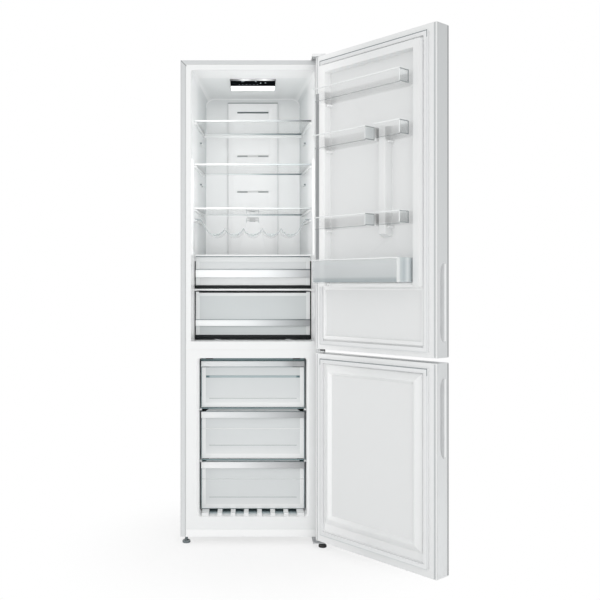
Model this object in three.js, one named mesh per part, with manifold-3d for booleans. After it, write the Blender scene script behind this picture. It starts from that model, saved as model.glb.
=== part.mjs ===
// A free-standing refrigerator with a bottom freezer, both doors open.
// Millimetres. X to the right, Y from the cabinet's front plane to its back, Z up from the floor.
// Every piece is drawn where it sits with the doors closed; the two doors then turn to openAngle.
import * as THREE from "three";
import { mergeVertices } from "three/addons/utils/BufferGeometryUtils.js";
import Module from "manifold-3d";

const wasm = await Module();
wasm.setup();

// ---- Driving dimensions -------------------------------------------------------------------
const gap = 0.3; // between two pieces that touch
const slip = 1; // between a sliding piece and the wall beside it
const steelSheet = 1;
const linerSheet = 2;
const mouldedWall = 2.5;

// Cabinet
const cabinetWidth = 595;
const cabinetDepth = 575;
const footHeight = 30;
const cabinetTop = 1988;
const sideFlange = 22;
const topFlange = 18;
const frontRailTop = 60;

// Fridge compartment
const fridgeMouthWidth = 508.8;
const fridgeRearWidth = 446.8;
const fridgeDepth = 480;
const fridgeFloor = 832;
const fridgeCeiling = 1948;
const ceilingFall = 7;
const fridgeMouthRadius = 12;
const fridgeRearRadius = 42;
const fridgeFloorRadius = 4;
const linerJoint = 798; // where the two liners' front faces meet

// Freezer compartment
const freezerMouthWidth = 462;
const freezerRearWidth = 446;
const freezerDepth = 450;
const freezerFloor = 112;
const freezerCeiling = 764;
const freezerRadius = 14;

// Machine compartment
const machineDepth = 200;
const machineFront = cabinetDepth - machineDepth;
const machineCeiling = 300;
const baseSheet = 1.5;
// The freezer's floor is raised over it
const stepDepth = machineFront - 25;
const stepHeight = machineCeiling + 26;

// Shelves of the fridge, each at the height of its underside
const shelfFront = 100;
const shelfRear = 392;
const shelfHeights = [1755, 1570.8, 1384.4];
const shelfThickness = 8;
const shelfBorder = 14;
const shelfRebate = 4;
const glassThickness = 4;
const ribReach = 8;
const ribHeight = 7;
const spareRibDrop = 54; // the unused pair of supports below a shelf
const spareRibRear = 350;

// Bottle rack
const rackFront = 106;
const rackRear = 330;
const rackDip = 1278;
const rackPeak = 1306;
const rackPitch = 80;
const rackScallops = 5;
const rackWall = 3;
const rackFlangeTop = 1345; // its ends lie on supports of the side walls
const rackLegX = 223;

// Crispers
const crisperFront = 112;
const crisperRear = 385;
const crisperCoverHeight = 1187.3;
const crisperCoverThickness = 5;
const crisperFloors = [1047.3, 837]; // the upper one, then the lower one
const crisperTops = [1183, 1038.8];
const crisperHandleBottoms = [1097, 891];
const crisperHandleTops = [1129, 916];
const dividerBottom = 1042;
const dividerTop = 1047;
const skidHalfPitch = 150;
const skidWidth = 24;

// Freezer drawers
const drawerFront = 80;
const drawerFrontMargin = 3.5; // narrower than the compartment's rear width, on each side
const drawerTubMargin = 9;
const drawerRear = 385;
const bottomDrawerRear = stepDepth - 15;
const drawerFloors = [551, stepHeight + 9, 123]; // from the top down
const drawerTops = [744.4, 532, stepHeight - 4.6];
const drawerHandles = [22.4, 25.7, 26.5];
const drawerTubDrop = 14; // the tub's rim below the front's top
const freezerShelfFront = 70;
const freezerShelfThickness = 5;
const floorChannels = 7;
const channelPitch = 55;
const channelWidth = 36;
const padFront = 14;
const padReach = 219; // outer edge of the outermost pads

// Handle bars of drawers and crispers
const handleProud = 8;
const handleLip = 2;

// Doors
const doorGap = 10;
const doorThickness = 72.7;
const openAngle = 130.5;
const hingeInset = 14.2; // from the cabinet's side to the pins' axis
const hingeX = cabinetWidth / 2 - hingeInset;
const hingeY = -35.3;
const upperDoorBottom = 806;
const upperDoorTop = 1988;
const lowerDoorBottom = 29;
const lowerDoorTop = 788;
const linerEdge = 8; // depth of the liner's turned edge
const gasketClearance = 2.5; // round the upper liner's dykes
const gasketWidth = 17;
const gasketReach = 9.4;
const upperGasket = [825, 1965];
const lowerGasket = [58, 769];
const pinRadius = 5;
const pinReach = 14;

// Handle recesses in the doors' free edges
const gripNear = 24.5; // from the door's inner face
const gripFar = 48.5;
const gripDepth = 22;
const gripEndHeight = 42;
const upperGrip = [859, 1145];
const lowerGrip = [448, 736];

// Upper door liner
const dykeClearance = 7.4; // to the walls of the fridge's mouth
const dykeWidth = 29;
const dykeReach = 30;
const dykeTop = 1937;
const dykeOuterWidth = fridgeMouthWidth - 2 * dykeClearance;
const dykeInnerWidth = dykeOuterWidth - 2 * dykeWidth;
const gasketInnerWidth = dykeOuterWidth + 2 * gasketClearance;
const ledgeTop = 1058;
const plinthBottom = 848;
const plinthReach = 8;
const plinthRim = 7.5;
const plinthPanelLow = 863;
const plinthPanelHigh = 1046;
const wellDepth = 5;
const ribX = -75;
const ribBase = 20;
const ribCrest = 16;
const ribOut = 28;
const ribLow = 1240;
const ribHigh = 1653;

// Lower door liner
const frameMargin = 9.5; // to the gasket's inner edge
const frameWidth = gasketInnerWidth - 2 * frameMargin;
const frameLow = 111;
const frameHigh = 748;
const frameReach = 17;
const frameShoulder = 3;
const frameSlope = 24;
const frameCrest = 5;
const frameFloor = 6;

// Door bins: reach from the door's inner face, floor and rim
const binClearance = 4.5; // to the dykes
const binBack = 2;
const binReach = 98;
const bottleBinReach = 110;
const binFloors = [1778.5, 1595.5, 1281]; // from the top down
const binRims = [1829, 1648, 1328];
const bottleBinFloor = 1071;
const bottleBinRim = 1162;
const binDraft = 6;
const binRim = 2;
const binRimHeight = 4;
const lugHeight = 7;
const lugReach = 22;
const lugOverlap = 9;

// Air duct on the fridge's back wall
const ductWidth = 232;
const ductLow = 1000;
const ductHigh = 1918;
const ductProud = 8;
const ductSlotWidth = 146;
const ductSlotHeight = 8;
const ductSlots = [1874, 1669, 1502];
const ventWidth = 52;
const ventHeight = 6;
const vents = [1418, 1373];

// Control housing under the ceiling
const housingWidth = 197;
const housingFront = 125;
const housingRear = 290;
const housingHeight = 12;
const housingLip = 4;
const displayRear = 198;
const panelThickness = 3;

// Side lights
const lightFront = 12;
const lightRear = 56;
const lightLow = 1190;
const lightHigh = 1585;
const lightProud = 1.5;

// Hinges
const hingePlate = 3;
const topHingeBottom = 1990;
const hingeInnerX = hingeX - 39.3;
const hingeOuterX = hingeX + 6.7;
const hingeNose = 14; // plate beyond the pin's axis
const hingeFootRear = 62;
const hingeFootFront = 16;
const hingeCoverTop = 2000;
const hingeCoverWall = 1.5;
const hingeCoverMargin = 4;
const middleHingeBottom = 794;
const middleHingePlate = 4;
const middleHingeFlange = [778, 814];
const middleHingeInnerX = hingeX - 14.8;
const bottomHingeBottom = 17;
const bottomHingePlate = 4;

// Feet and rollers
const footRadius = 16.5;
const footSole = 11;
const footStemRadius = 6;
const leftFootX = 22.5 - cabinetWidth / 2;
const leftFootY = 25;
const rollerRadius = 13;
const rollerWidth = 18;
const rollerX = cabinetWidth / 2 - 47.5;
const rollerY = cabinetDepth - 30;
const axleRadius = 3;
const axleSlip = 0.3;
const earThickness = 2;

// Freezer air circuit
const coverFront = 392;
const fanX = 0;
const fanZ = 705;
const fanRadius = 44;
const fanHubRadius = 14;
const fanDepth = 18;
const fanBlades = 7;
const fanPitch = 35;
const fanShaftRadius = 3;
const fanOpening = 48;
const coverSlots = [646, 470, stepHeight + 44];
const coverSlotWidths = [428, 260, 260];
const coverSlotHeight = 12;
const evaporatorWidth = 360;
const evaporatorLow = stepHeight + 19;
const evaporatorHigh = 590;
const evaporatorDepth = 40;
const evaporatorFins = 9;
const finThickness = 1.2;
const evaporatorTubes = 4;
const tubeRadius = 4;

// Compressor
const compressorX = 20;
const compressorY = cabinetDepth - 105;
const compressorRadius = 78;
const compressorHeight = 170;
const compressorFootHeight = 12;
const compressorPlate = 3;
const stubRadius = 5;
const stubLength = 30;
const trayWidth = 190;
const trayDepth = 150;
const trayHeight = 26;

// Cord inlet, without its cord
const inletX = -230;
const inletZ = machineCeiling + 45;
const inletRadius = 11;
const inletBore = 5;
const inletProud = 6;

// ---- Shapes -------------------------------------------------------------------------------
const frames = {
  x: new THREE.Matrix4().makeBasis(
    new THREE.Vector3(0, 1, 0), new THREE.Vector3(0, 0, 1), new THREE.Vector3(1, 0, 0)),
  y: new THREE.Matrix4().makeBasis(
    new THREE.Vector3(1, 0, 0), new THREE.Vector3(0, 0, 1), new THREE.Vector3(0, -1, 0)),
  z: new THREE.Matrix4(),
};

function solid(geometry) {
  const bare = geometry.index ? geometry.toNonIndexed() : geometry.clone();
  bare.deleteAttribute("normal");
  bare.deleteAttribute("uv");
  const merged = mergeVertices(bare, 1e-4);
  return new wasm.Manifold(new wasm.Mesh({
    numProp: 3,
    vertProperties: merged.attributes.position.array,
    triVerts: new Uint32Array(merged.index.array),
  }));
}

function union(pieces) {
  return pieces.reduce((whole, piece) => whole.add(piece));
}

function cut(body, pieces) {
  return pieces.reduce((left, piece) => left.subtract(piece), body);
}

function box(x0, x1, y0, y1, z0, z1) {
  const geometry = new THREE.BoxGeometry(x1 - x0, y1 - y0, z1 - z0);
  return solid(geometry.translate((x0 + x1) / 2, (y0 + y1) / 2, (z0 + z1) / 2));
}

// A box with its middle at X 0
function middleBox(width, y0, y1, z0, z1) {
  return box(-width / 2, width / 2, y0, y1, z0, z1);
}

// An outline pushed along one axis. Its two coordinates are the other two axes, in X, Y, Z order.
function extrude(along, outline, from, to, hole) {
  const shape = new THREE.Shape(outline);
  if (hole) shape.holes.push(new THREE.Path(hole));
  const geometry = new THREE.ExtrudeGeometry(shape, { depth: to - from, bevelEnabled: false });
  const start = along === "y" ? to : from;
  geometry.applyMatrix4(frames[along]);
  return solid(geometry.translate(
    along === "x" ? start : 0, along === "y" ? start : 0, along === "z" ? start : 0));
}

// A closed body through outlines that have the same number of points, each at its own Y.
// Every outline is in X and Z, and turns from X towards Z.
function loftY(sections) {
  const count = sections[0].outline.length;
  const positions = sections.flatMap(({ y, outline }) => outline.flatMap((p) => [p.x, y, p.y]));
  const faces = [];
  for (let s = 0; s + 1 < sections.length; s++) {
    for (let i = 0; i < count; i++) {
      const a = s * count + i;
      const b = s * count + ((i + 1) % count);
      faces.push(a, a + count, b, b, a + count, b + count);
    }
  }
  const caps = THREE.ShapeUtils.triangulateShape(sections[0].outline, []);
  const last = (sections.length - 1) * count;
  for (const [a, b, c] of caps) faces.push(a, b, c, last + c, last + b, last + a);
  const geometry = new THREE.BufferGeometry();
  geometry.setAttribute("position", new THREE.Float32BufferAttribute(positions, 3));
  geometry.setIndex(faces);
  return solid(geometry);
}

function rectangle(x0, x1, z0, z1) {
  return [[x0, z0], [x1, z0], [x1, z1], [x0, z1]].map(([x, z]) => new THREE.Vector2(x, z));
}

function roundedRectangle(x0, x1, z0, z1, high, low = high) {
  const steps = 4;
  const corners = [[x1 - low, z0 + low, -90, low], [x1 - high, z1 - high, 0, high],
    [x0 + high, z1 - high, 90, high], [x0 + low, z0 + low, 180, low]];
  return corners.flatMap(([x, z, start, radius]) => Array.from({ length: steps + 1 }, (_, i) => {
    const angle = THREE.MathUtils.degToRad(start + (90 * i) / steps);
    return new THREE.Vector2(x + radius * Math.cos(angle), z + radius * Math.sin(angle));
  }));
}

function points(...pairs) {
  return pairs.map(([a, b]) => new THREE.Vector2(a, b));
}

// A round bar between two values of one axis, at a place in the other two
function bar(along, a, b, radius, from, to, sides = 16) {
  const geometry = new THREE.CylinderGeometry(radius, radius, to - from, sides);
  const middle = (from + to) / 2;
  if (along === "x") geometry.rotateZ(Math.PI / 2).translate(middle, a, b);
  if (along === "y") geometry.translate(a, middle, b);
  if (along === "z") geometry.rotateX(Math.PI / 2).translate(a, b, middle);
  return solid(geometry);
}

function geometryOf(body) {
  const mesh = body.getMesh();
  const geometry = new THREE.BufferGeometry();
  geometry.setAttribute("position", new THREE.BufferAttribute(new Float32Array(mesh.vertProperties), 3));
  geometry.setIndex(new THREE.BufferAttribute(new Uint32Array(mesh.triVerts), 1));
  return geometry;
}

// ---- Finishes -----------------------------------------------------------------------------
function finish(color, roughness, metalness = 0, opacity = 1) {
  return new THREE.MeshStandardMaterial({
    color, roughness, metalness, opacity, transparent: opacity < 1,
  });
}

const finishes = {
  coatedSteel: finish(0xd9dcdd, 0.35, 0.3),
  doorSteel: finish(0xd3d6d7, 0.32, 0.4),
  linerWhite: finish(0xf1f3f3, 0.4),
  clearPlastic: finish(0xe6eced, 0.1, 0, 0.35),
  glass: finish(0xdfe9e8, 0.05, 0, 0.3),
  trimWhite: finish(0xf4f6f6, 0.3),
  satinBar: finish(0xd8dadb, 0.25, 0.9),
  blackGlass: finish(0x0b0c0d, 0.08),
  lightDiffuser: finish(0xffffff, 0.5),
  seal: finish(0xdfe2e3, 0.7),
  foam: finish(0xe8dfae, 0.9),
  zincSteel: finish(0x9a9ea0, 0.4, 0.9),
  blackPaint: finish(0x17191a, 0.5, 0.3),
  darkRubber: finish(0x1b1d1e, 0.8),
  bareAluminium: finish(0xbfc3c4, 0.4, 0.9),
};

function node(name, body, material) {
  const geometry = geometryOf(body).toNonIndexed();
  geometry.computeVertexNormals();
  const mesh = new THREE.Mesh(geometry, finishes[material]);
  mesh.name = name;
  return mesh;
}

// ---- Cabinet ------------------------------------------------------------------------------
const casingHalf = cabinetWidth / 2;
const insideHalf = casingHalf - steelSheet - gap;
const faceHalf = casingHalf - sideFlange - gap; // the liners' front faces, between the side flanges
const faceTop = cabinetTop - topFlange - gap;
const insideTop = cabinetTop - steelSheet - gap;
const panelFront = cabinetDepth - steelSheet - gap;

// Half width of the fridge compartment at a depth
function fridgeWall(y) {
  return THREE.MathUtils.lerp(fridgeMouthWidth, fridgeRearWidth, y / fridgeDepth) / 2;
}

function freezerWall(y) {
  return THREE.MathUtils.lerp(freezerMouthWidth, freezerRearWidth, y / freezerDepth) / 2;
}

function ceilingAt(y) {
  return fridgeCeiling - (ceilingFall * y) / fridgeDepth;
}

function outerCasing() {
  const shell = cut(middleBox(cabinetWidth, 0, cabinetDepth, footHeight, cabinetTop), [
    middleBox(cabinetWidth - 2 * steelSheet, -1, cabinetDepth + 1, footHeight - 1, cabinetTop - steelSheet),
  ]);
  const flange = cut(middleBox(cabinetWidth, 0, steelSheet, footHeight, cabinetTop), [
    middleBox(cabinetWidth - 2 * sideFlange, -1, 2, footHeight - 1, cabinetTop - topFlange),
  ]);
  return shell.add(flange);
}

// The space of the fridge compartment, grown on every side but the front
function fridgeSpace(grow, front) {
  const section = (y, at, radius) => {
    const half = fridgeWall(at) + grow;
    return {
      y,
      outline: roundedRectangle(-half, half, fridgeFloor - grow, ceilingAt(at) + grow, radius + grow,
        fridgeFloorRadius + grow),
    };
  };
  return loftY([
    section(front, 0, fridgeMouthRadius),
    section(fridgeDepth + grow, fridgeDepth, fridgeRearRadius),
  ]);
}

function freezerSpace(grow, front) {
  const section = (y, at, low) => {
    const half = freezerWall(at) + grow;
    return {
      y,
      outline: roundedRectangle(-half, half, low - grow, freezerCeiling + grow, freezerRadius + grow),
    };
  };
  const toStep = loftY([
    section(front, 0, freezerFloor),
    section(stepDepth + grow, stepDepth, freezerFloor),
  ]);
  const overStep = loftY([
    section(front, 0, stepHeight),
    section(freezerDepth + grow, freezerDepth, stepHeight),
  ]);
  return toStep.add(overStep);
}

// A support that follows the tapering side wall, on both sides
function wallRibs(wall, front, rear, top, height) {
  return [-1, 1].map((side) => extrude("z", points(
    [side * (wall(front) - ribReach), front], [side * (wall(front) + linerSheet / 2), front],
    [side * (wall(rear) + linerSheet / 2), rear], [side * (wall(rear) - ribReach), rear],
  ), top - height, top));
}

function fridgeLiner() {
  const face = middleBox(2 * faceHalf, 0, linerSheet, linerJoint + gap, faceTop);
  const shell = cut(face.add(fridgeSpace(linerSheet, 0)), [fridgeSpace(0, -1)]);
  const shelfRibs = shelfHeights.flatMap((height) =>
    wallRibs(fridgeWall, shelfFront + 6, shelfRear, height - gap, ribHeight));
  const spareRibs = shelfHeights.slice(0, 2).flatMap((height) =>
    wallRibs(fridgeWall, spareRibRear - 60, spareRibRear, height - spareRibDrop, ribHeight));
  const rackRibs = wallRibs(fridgeWall, rackFront, rackRear, rackFlangeTop - rackWall - gap, ribHeight);
  const coverRibs = wallRibs(fridgeWall, crisperFront, crisperRear, crisperCoverHeight - gap, ribHeight / 2);
  const dividerRibs = wallRibs(fridgeWall, crisperFront, crisperRear, dividerBottom - gap,
    dividerBottom - 2 * gap - crisperTops[1]);
  const skids = [-1, 1].map((side) => box(
    side * skidHalfPitch - skidWidth / 2, side * skidHalfPitch + skidWidth / 2,
    crisperFront, crisperRear, fridgeFloor - linerSheet / 2, crisperFloors[1] - gap));
  return union([shell, ...shelfRibs, ...spareRibs, ...rackRibs, ...coverRibs, ...dividerRibs, ...skids]);
}

function freezerShelfTop(index) {
  return drawerFloors[index] - gap;
}

// The two upper drawers are deeper than the one over the machine compartment's step. Shelves and
// supports under a drawer end with the shorter of the two that they lie between.
function rearOfDrawer(index) {
  return index < 2 ? drawerRear : bottomDrawerRear;
}

function freezerLiner() {
  const face = middleBox(2 * faceHalf, 0, linerSheet, frontRailTop + gap, linerJoint);
  const shell = cut(face.add(freezerSpace(linerSheet, 0)), [freezerSpace(0, -1)]);
  const ribs = [0, 1].flatMap((i) => wallRibs(freezerWall, freezerShelfFront + 4, rearOfDrawer(i + 1),
    freezerShelfTop(i) - freezerShelfThickness - gap, ribHeight));
  const padTop = drawerFloors[2] - gap;
  const pads = [];
  for (let i = 0; i <= floorChannels; i++) {
    const left = (i - floorChannels / 2 - 0.5) * channelPitch + channelWidth / 2;
    const right = (i - floorChannels / 2 + 0.5) * channelPitch - channelWidth / 2;
    pads.push(box(i === 0 ? -padReach : left, i === floorChannels ? padReach : right, padFront,
      bottomDrawerRear, freezerFloor - linerSheet / 2, padTop));
  }
  return union([shell, ...ribs, union(pads).intersect(freezerSpace(linerSheet / 2, 0))]);
}

function cabinetFoam() {
  const block = middleBox(2 * insideHalf, linerSheet + gap, panelFront - gap,
    footHeight + baseSheet + gap, insideTop);
  const machine = middleBox(cabinetWidth, machineFront - baseSheet - gap, cabinetDepth, 0,
    machineCeiling + baseSheet + gap);
  return cut(block, [
    fridgeSpace(linerSheet + gap, 0),
    freezerSpace(linerSheet + gap, 0),
    machine,
  ]);
}

// Underside, front rail, the wall and roof of the machine compartment, its floor, and the rollers' forks
function basePlate() {
  const low = footHeight;
  const rear = panelFront - gap;
  const front = steelSheet + gap; // the sheet runs behind the casing's side flanges
  const rail = middleBox(2 * faceHalf, 0, linerSheet, low, frontRailTop);
  const profile = extrude("x", points(
    [front, low], [rear, low], [rear, low + baseSheet],
    [machineFront, low + baseSheet], [machineFront, machineCeiling], [rear, machineCeiling],
    [rear, machineCeiling + baseSheet], [machineFront - baseSheet, machineCeiling + baseSheet],
    [machineFront - baseSheet, low + baseSheet], [front, low + baseSheet],
  ), -insideHalf, insideHalf);
  const forks = [-1, 1].flatMap((side) => {
    const inner = side * rollerX - rollerWidth / 2 - gap;
    const outer = side * rollerX + rollerWidth / 2 + gap;
    const ear = (x) => box(x, x + earThickness, rollerY - 9, rollerY + 9, rollerRadius - 7,
      low + baseSheet / 2);
    return [
      ear(inner - earThickness),
      ear(outer),
      bar("x", rollerY, rollerRadius, axleRadius, inner - earThickness / 2, outer + earThickness / 2, 12),
    ];
  });
  return union([rail, profile, ...forks]);
}

function rearPanel() {
  const panel = middleBox(2 * insideHalf, panelFront, panelFront + steelSheet,
    machineCeiling + baseSheet + gap, insideTop);
  const boss = bar("y", inletX, inletZ, inletRadius, panelFront, panelFront + steelSheet + inletProud);
  const bore = bar("y", inletX, inletZ, inletBore, panelFront - 1, cabinetDepth + 2 * inletProud);
  return panel.add(boss).subtract(bore);
}

function airDuctCover() {
  const rear = fridgeDepth - gap;
  const front = rear - ductProud;
  const shell = cut(middleBox(ductWidth, front, rear, ductLow, ductHigh), [
    middleBox(ductWidth - 2 * mouldedWall, front + linerSheet, rear + 1,
      ductLow + mouldedWall, ductHigh - mouldedWall),
  ]);
  const slots = ductSlots.map((z) => middleBox(ductSlotWidth, front - 1, front + 2 * linerSheet,
    z - ductSlotHeight / 2, z + ductSlotHeight / 2));
  const openings = vents.flatMap((z) => [-1, 1].map((side) => middleBox(ventWidth, front - 1,
    front + 2 * linerSheet, z + side * ventHeight - ventHeight / 2, z + side * ventHeight + ventHeight / 2)));
  return cut(shell, [...slots, ...openings]);
}

// ---- Control housing ----------------------------------------------------------------------
const housingBottom = ceilingAt(housingRear) - housingHeight;

function controlHousing() {
  const block = extrude("x", points(
    [housingFront, housingBottom], [housingRear, housingBottom],
    [housingRear, ceilingAt(housingRear) - gap], [housingFront, ceilingAt(housingFront) - gap],
  ), -housingWidth / 2, housingWidth / 2);
  return cut(block, [middleBox(housingWidth - 2 * linerSheet, housingFront + housingLip,
    housingRear - linerSheet, housingBottom - 1, housingBottom + panelThickness + gap)]);
}

function housingPanel(front, rear) {
  return middleBox(housingWidth - 2 * linerSheet - 2 * gap, front, rear, housingBottom,
    housingBottom + panelThickness);
}

// A strip on the side wall, a little proud of it
function sideLight(side) {
  const near = fridgeWall(lightFront) - gap;
  const far = fridgeWall(lightRear) - gap;
  return extrude("z", points(
    [side * near, lightFront], [side * far, lightRear],
    [side * (far - lightProud), lightRear], [side * (near - lightProud), lightFront],
  ), lightLow, lightHigh);
}

// ---- Shelves and crispers -----------------------------------------------------------------
// Plan outline between the tapering walls, drawn in by an amount on every side
function shelfPlan(inset, front = shelfFront, rear = shelfRear) {
  const near = fridgeWall(front) - slip - inset;
  const far = fridgeWall(rear) - slip - inset;
  return points([-near, front + inset], [near, front + inset], [far, rear - inset], [-far, rear - inset]);
}

function shelfFrame(bottom) {
  const ring = extrude("z", shelfPlan(0), bottom, bottom + shelfThickness, shelfPlan(shelfBorder));
  const rebate = extrude("z", shelfPlan(shelfRebate), bottom + shelfThickness - glassThickness - gap,
    bottom + shelfThickness + 1);
  return ring.subtract(rebate);
}

function shelfGlass(bottom) {
  const seat = bottom + shelfThickness - glassThickness;
  return extrude("z", shelfPlan(shelfRebate + gap), seat, seat + glassThickness);
}

// A row of round scallops, its ends rising to flanges on the side walls' supports
function bottleRack() {
  const sag = rackPeak - rackDip;
  const half = rackPitch / 2;
  const radius = (half * half + sag * sag) / (2 * sag);
  const swing = Math.asin(half / radius);
  const steps = 6;
  const upper = [];
  for (let scallop = 0; scallop < rackScallops; scallop++) {
    const middle = (scallop - (rackScallops - 1) / 2) * rackPitch;
    for (let i = scallop === 0 ? 0 : 1; i <= steps; i++) {
      const angle = THREE.MathUtils.lerp(-swing, swing, i / steps);
      upper.push([middle + radius * Math.sin(angle), rackDip + radius * (1 - Math.cos(angle))]);
    }
  }
  const reach = fridgeMouthWidth / 2;
  const top = [[-reach, rackFlangeTop], [-rackLegX, rackFlangeTop], ...upper, [rackLegX, rackFlangeTop],
    [reach, rackFlangeTop]];
  const under = top.map(([x, z]) => [x, z - rackWall]);
  const plate = extrude("y", points(...under, ...top.reverse()), rackFront, rackRear);
  return plate.intersect(extrude("z", shelfPlan(slip), rackDip - 2 * rackWall, rackFlangeTop + 1));
}

function crisperTub(floor, top) {
  const outer = extrude("z", shelfPlan(0, crisperFront, crisperRear), floor, top);
  const inner = extrude("z", shelfPlan(mouldedWall, crisperFront, crisperRear), floor + mouldedWall, top + 1);
  return outer.subtract(inner);
}

// A hollow-backed bar for the fingers, standing on a drawer's front
function handleBar(halfWidth, front, low, high) {
  const back = front - gap;
  const face = back - handleProud;
  const lip = handleLip;
  return extrude("x", points(
    [face, low + lip], [face + lip, low], [face + lip, high - 3 * lip], [back, high - 3 * lip],
    [back, high], [face + lip, high], [face, high - lip],
  ), -halfWidth, halfWidth);
}

const drawerFrontWidth = freezerRearWidth - 2 * drawerFrontMargin;
const drawerTubWidth = freezerRearWidth - 2 * drawerTubMargin;

function drawerTub(index) {
  const floor = drawerFloors[index];
  const top = drawerTops[index];
  const rear = rearOfDrawer(index);
  const tubTop = top - drawerTubDrop;
  const front = middleBox(drawerFrontWidth, drawerFront, drawerFront + mouldedWall, floor, top);
  const tub = cut(middleBox(drawerTubWidth, drawerFront, rear, floor, tubTop), [
    middleBox(drawerTubWidth - 2 * mouldedWall, drawerFront + mouldedWall, rear - mouldedWall,
      floor + mouldedWall, top + 1),
  ]);
  return front.add(tub);
}

function freezerShelf(index) {
  const rear = rearOfDrawer(index + 1);
  const half = freezerWall(rear) - slip;
  return box(-half, half, freezerShelfFront, rear, freezerShelfTop(index) - freezerShelfThickness,
    freezerShelfTop(index));
}

// ---- Cold and machine pieces --------------------------------------------------------------
function evaporator() {
  const rear = freezerDepth - gap;
  const front = rear - evaporatorDepth;
  const step = evaporatorWidth / (evaporatorFins - 1);
  const fins = Array.from({ length: evaporatorFins }, (_, i) => {
    const x = -evaporatorWidth / 2 + i * step;
    return box(x - finThickness / 2, x + finThickness / 2, front, rear, evaporatorLow, evaporatorHigh);
  });
  const pitch = (evaporatorHigh - evaporatorLow) / evaporatorTubes;
  const tubes = Array.from({ length: evaporatorTubes }, (_, i) => bar(
    "x", (front + rear) / 2, evaporatorLow + (i + 0.5) * pitch, tubeRadius,
    -evaporatorWidth / 2 - tubeRadius, evaporatorWidth / 2 + tubeRadius, 6));
  return union([...fins, ...tubes]);
}

const fanFront = coverFront + mouldedWall + 6;

// A tray over the evaporator, with air slots, the fan's opening, its spider and shaft
function freezerRearCover() {
  const rear = freezerDepth - gap;
  const section = (inset) => {
    const half = freezerWall(freezerDepth) - slip - inset;
    return roundedRectangle(-half, half, stepHeight + gap + inset, freezerCeiling - slip - inset,
      freezerRadius - inset);
  };
  const shell = cut(extrude("y", section(0), coverFront, rear), [
    extrude("y", section(mouldedWall), coverFront + mouldedWall, rear + 1),
  ]);
  const slots = coverSlots.map((z, i) => middleBox(coverSlotWidths[i], coverFront - 1,
    coverFront + 2 * mouldedWall, z - coverSlotHeight / 2, z + coverSlotHeight / 2));
  const opening = bar("y", fanX, fanZ, fanOpening, coverFront - 1, coverFront + 2 * mouldedWall, 24);
  const spokes = [0, 90].map((angle) => {
    const spoke = new THREE.BoxGeometry(2 * fanOpening + 2, mouldedWall, 6);
    spoke.rotateY(THREE.MathUtils.degToRad(angle + 45));
    return solid(spoke.translate(fanX, coverFront + mouldedWall / 2, fanZ));
  });
  const hub = bar("y", fanX, fanZ, fanHubRadius, coverFront, coverFront + mouldedWall + 3);
  const shaft = bar("y", fanX, fanZ, fanShaftRadius, coverFront, fanFront + fanDepth, 12);
  return union([cut(shell, [...slots, opening]), ...spokes, hub, shaft]);
}

function evaporatorFan() {
  const hub = bar("y", fanX, fanZ, fanHubRadius, fanFront, fanFront + fanDepth);
  const blades = Array.from({ length: fanBlades }, (_, i) => {
    const length = fanRadius - fanHubRadius + 4;
    const blade = new THREE.BoxGeometry(length, 1.6, fanDepth);
    blade.rotateX(THREE.MathUtils.degToRad(90 - fanPitch)).translate(fanHubRadius - 4 + length / 2, 0, 0);
    blade.rotateY((2 * Math.PI * i) / fanBlades);
    return solid(blade.translate(fanX, fanFront + fanDepth / 2, fanZ));
  });
  const bore = bar("y", fanX, fanZ, fanShaftRadius + axleSlip, fanFront - 1, fanFront + fanDepth + 1, 12);
  return cut(union([hub, ...blades]), [bore]);
}

function compressor() {
  const base = footHeight + baseSheet + gap;
  const bottom = base + compressorFootHeight + compressorPlate;
  const r = compressorRadius;
  const h = compressorHeight;
  const profile = points([0, 0], [0.55 * r, 0], [0.9 * r, 0.12 * h], [r, 0.28 * h], [r, 0.62 * h],
    [0.93 * r, 0.8 * h], [0.7 * r, 0.94 * h], [0.35 * r, h], [0, h]);
  const pot = new THREE.LatheGeometry(profile, 20).rotateX(Math.PI / 2);
  const plateTop = bottom + 2;
  const plate = box(compressorX - r - 12, compressorX + r + 12, compressorY - 0.6 * r, compressorY + 0.6 * r,
    plateTop - compressorPlate, plateTop);
  const mounts = [-1, 1].flatMap((a) => [-1, 1].map((b) => bar(
    "z", compressorX + a * r, compressorY + b * 0.45 * r, 9, base, plateTop - compressorPlate / 2, 12)));
  const stubs = [[-0.3, 0.45], [0.1, 0.5], [0.45, 0.4]].map(([across, up]) => bar(
    "x", compressorY + across * r, bottom + up * h, stubRadius, compressorX + 0.8 * r,
    compressorX + r + stubLength, 10));
  return union([solid(pot.translate(compressorX, compressorY, bottom)), plate, ...mounts, ...stubs]);
}

function dripTray() {
  const floor = footHeight + baseSheet + 2 * gap + compressorFootHeight + compressorPlate + compressorHeight;
  const tray = (inset, low, high) => box(
    compressorX - trayWidth / 2 + inset, compressorX + trayWidth / 2 - inset,
    compressorY - trayDepth / 2 + inset, compressorY + trayDepth / 2 - inset, low, high);
  return tray(0, floor, floor + trayHeight).subtract(
    tray(mouldedWall, floor + mouldedWall, floor + trayHeight + 1));
}

// ---- Hinges, feet and rollers -------------------------------------------------------------
const hingeFrontY = hingeY - hingeNose;

function topHinge() {
  return union([
    box(hingeInnerX, hingeOuterX, hingeFrontY, hingeFootRear, topHingeBottom, topHingeBottom + hingePlate),
    box(hingeInnerX, hingeOuterX, hingeFootFront, hingeFootRear, cabinetTop, topHingeBottom + hingePlate),
    bar("z", hingeX, hingeY, pinRadius, upperDoorTop - pinReach, topHingeBottom + 1),
  ]);
}

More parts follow.
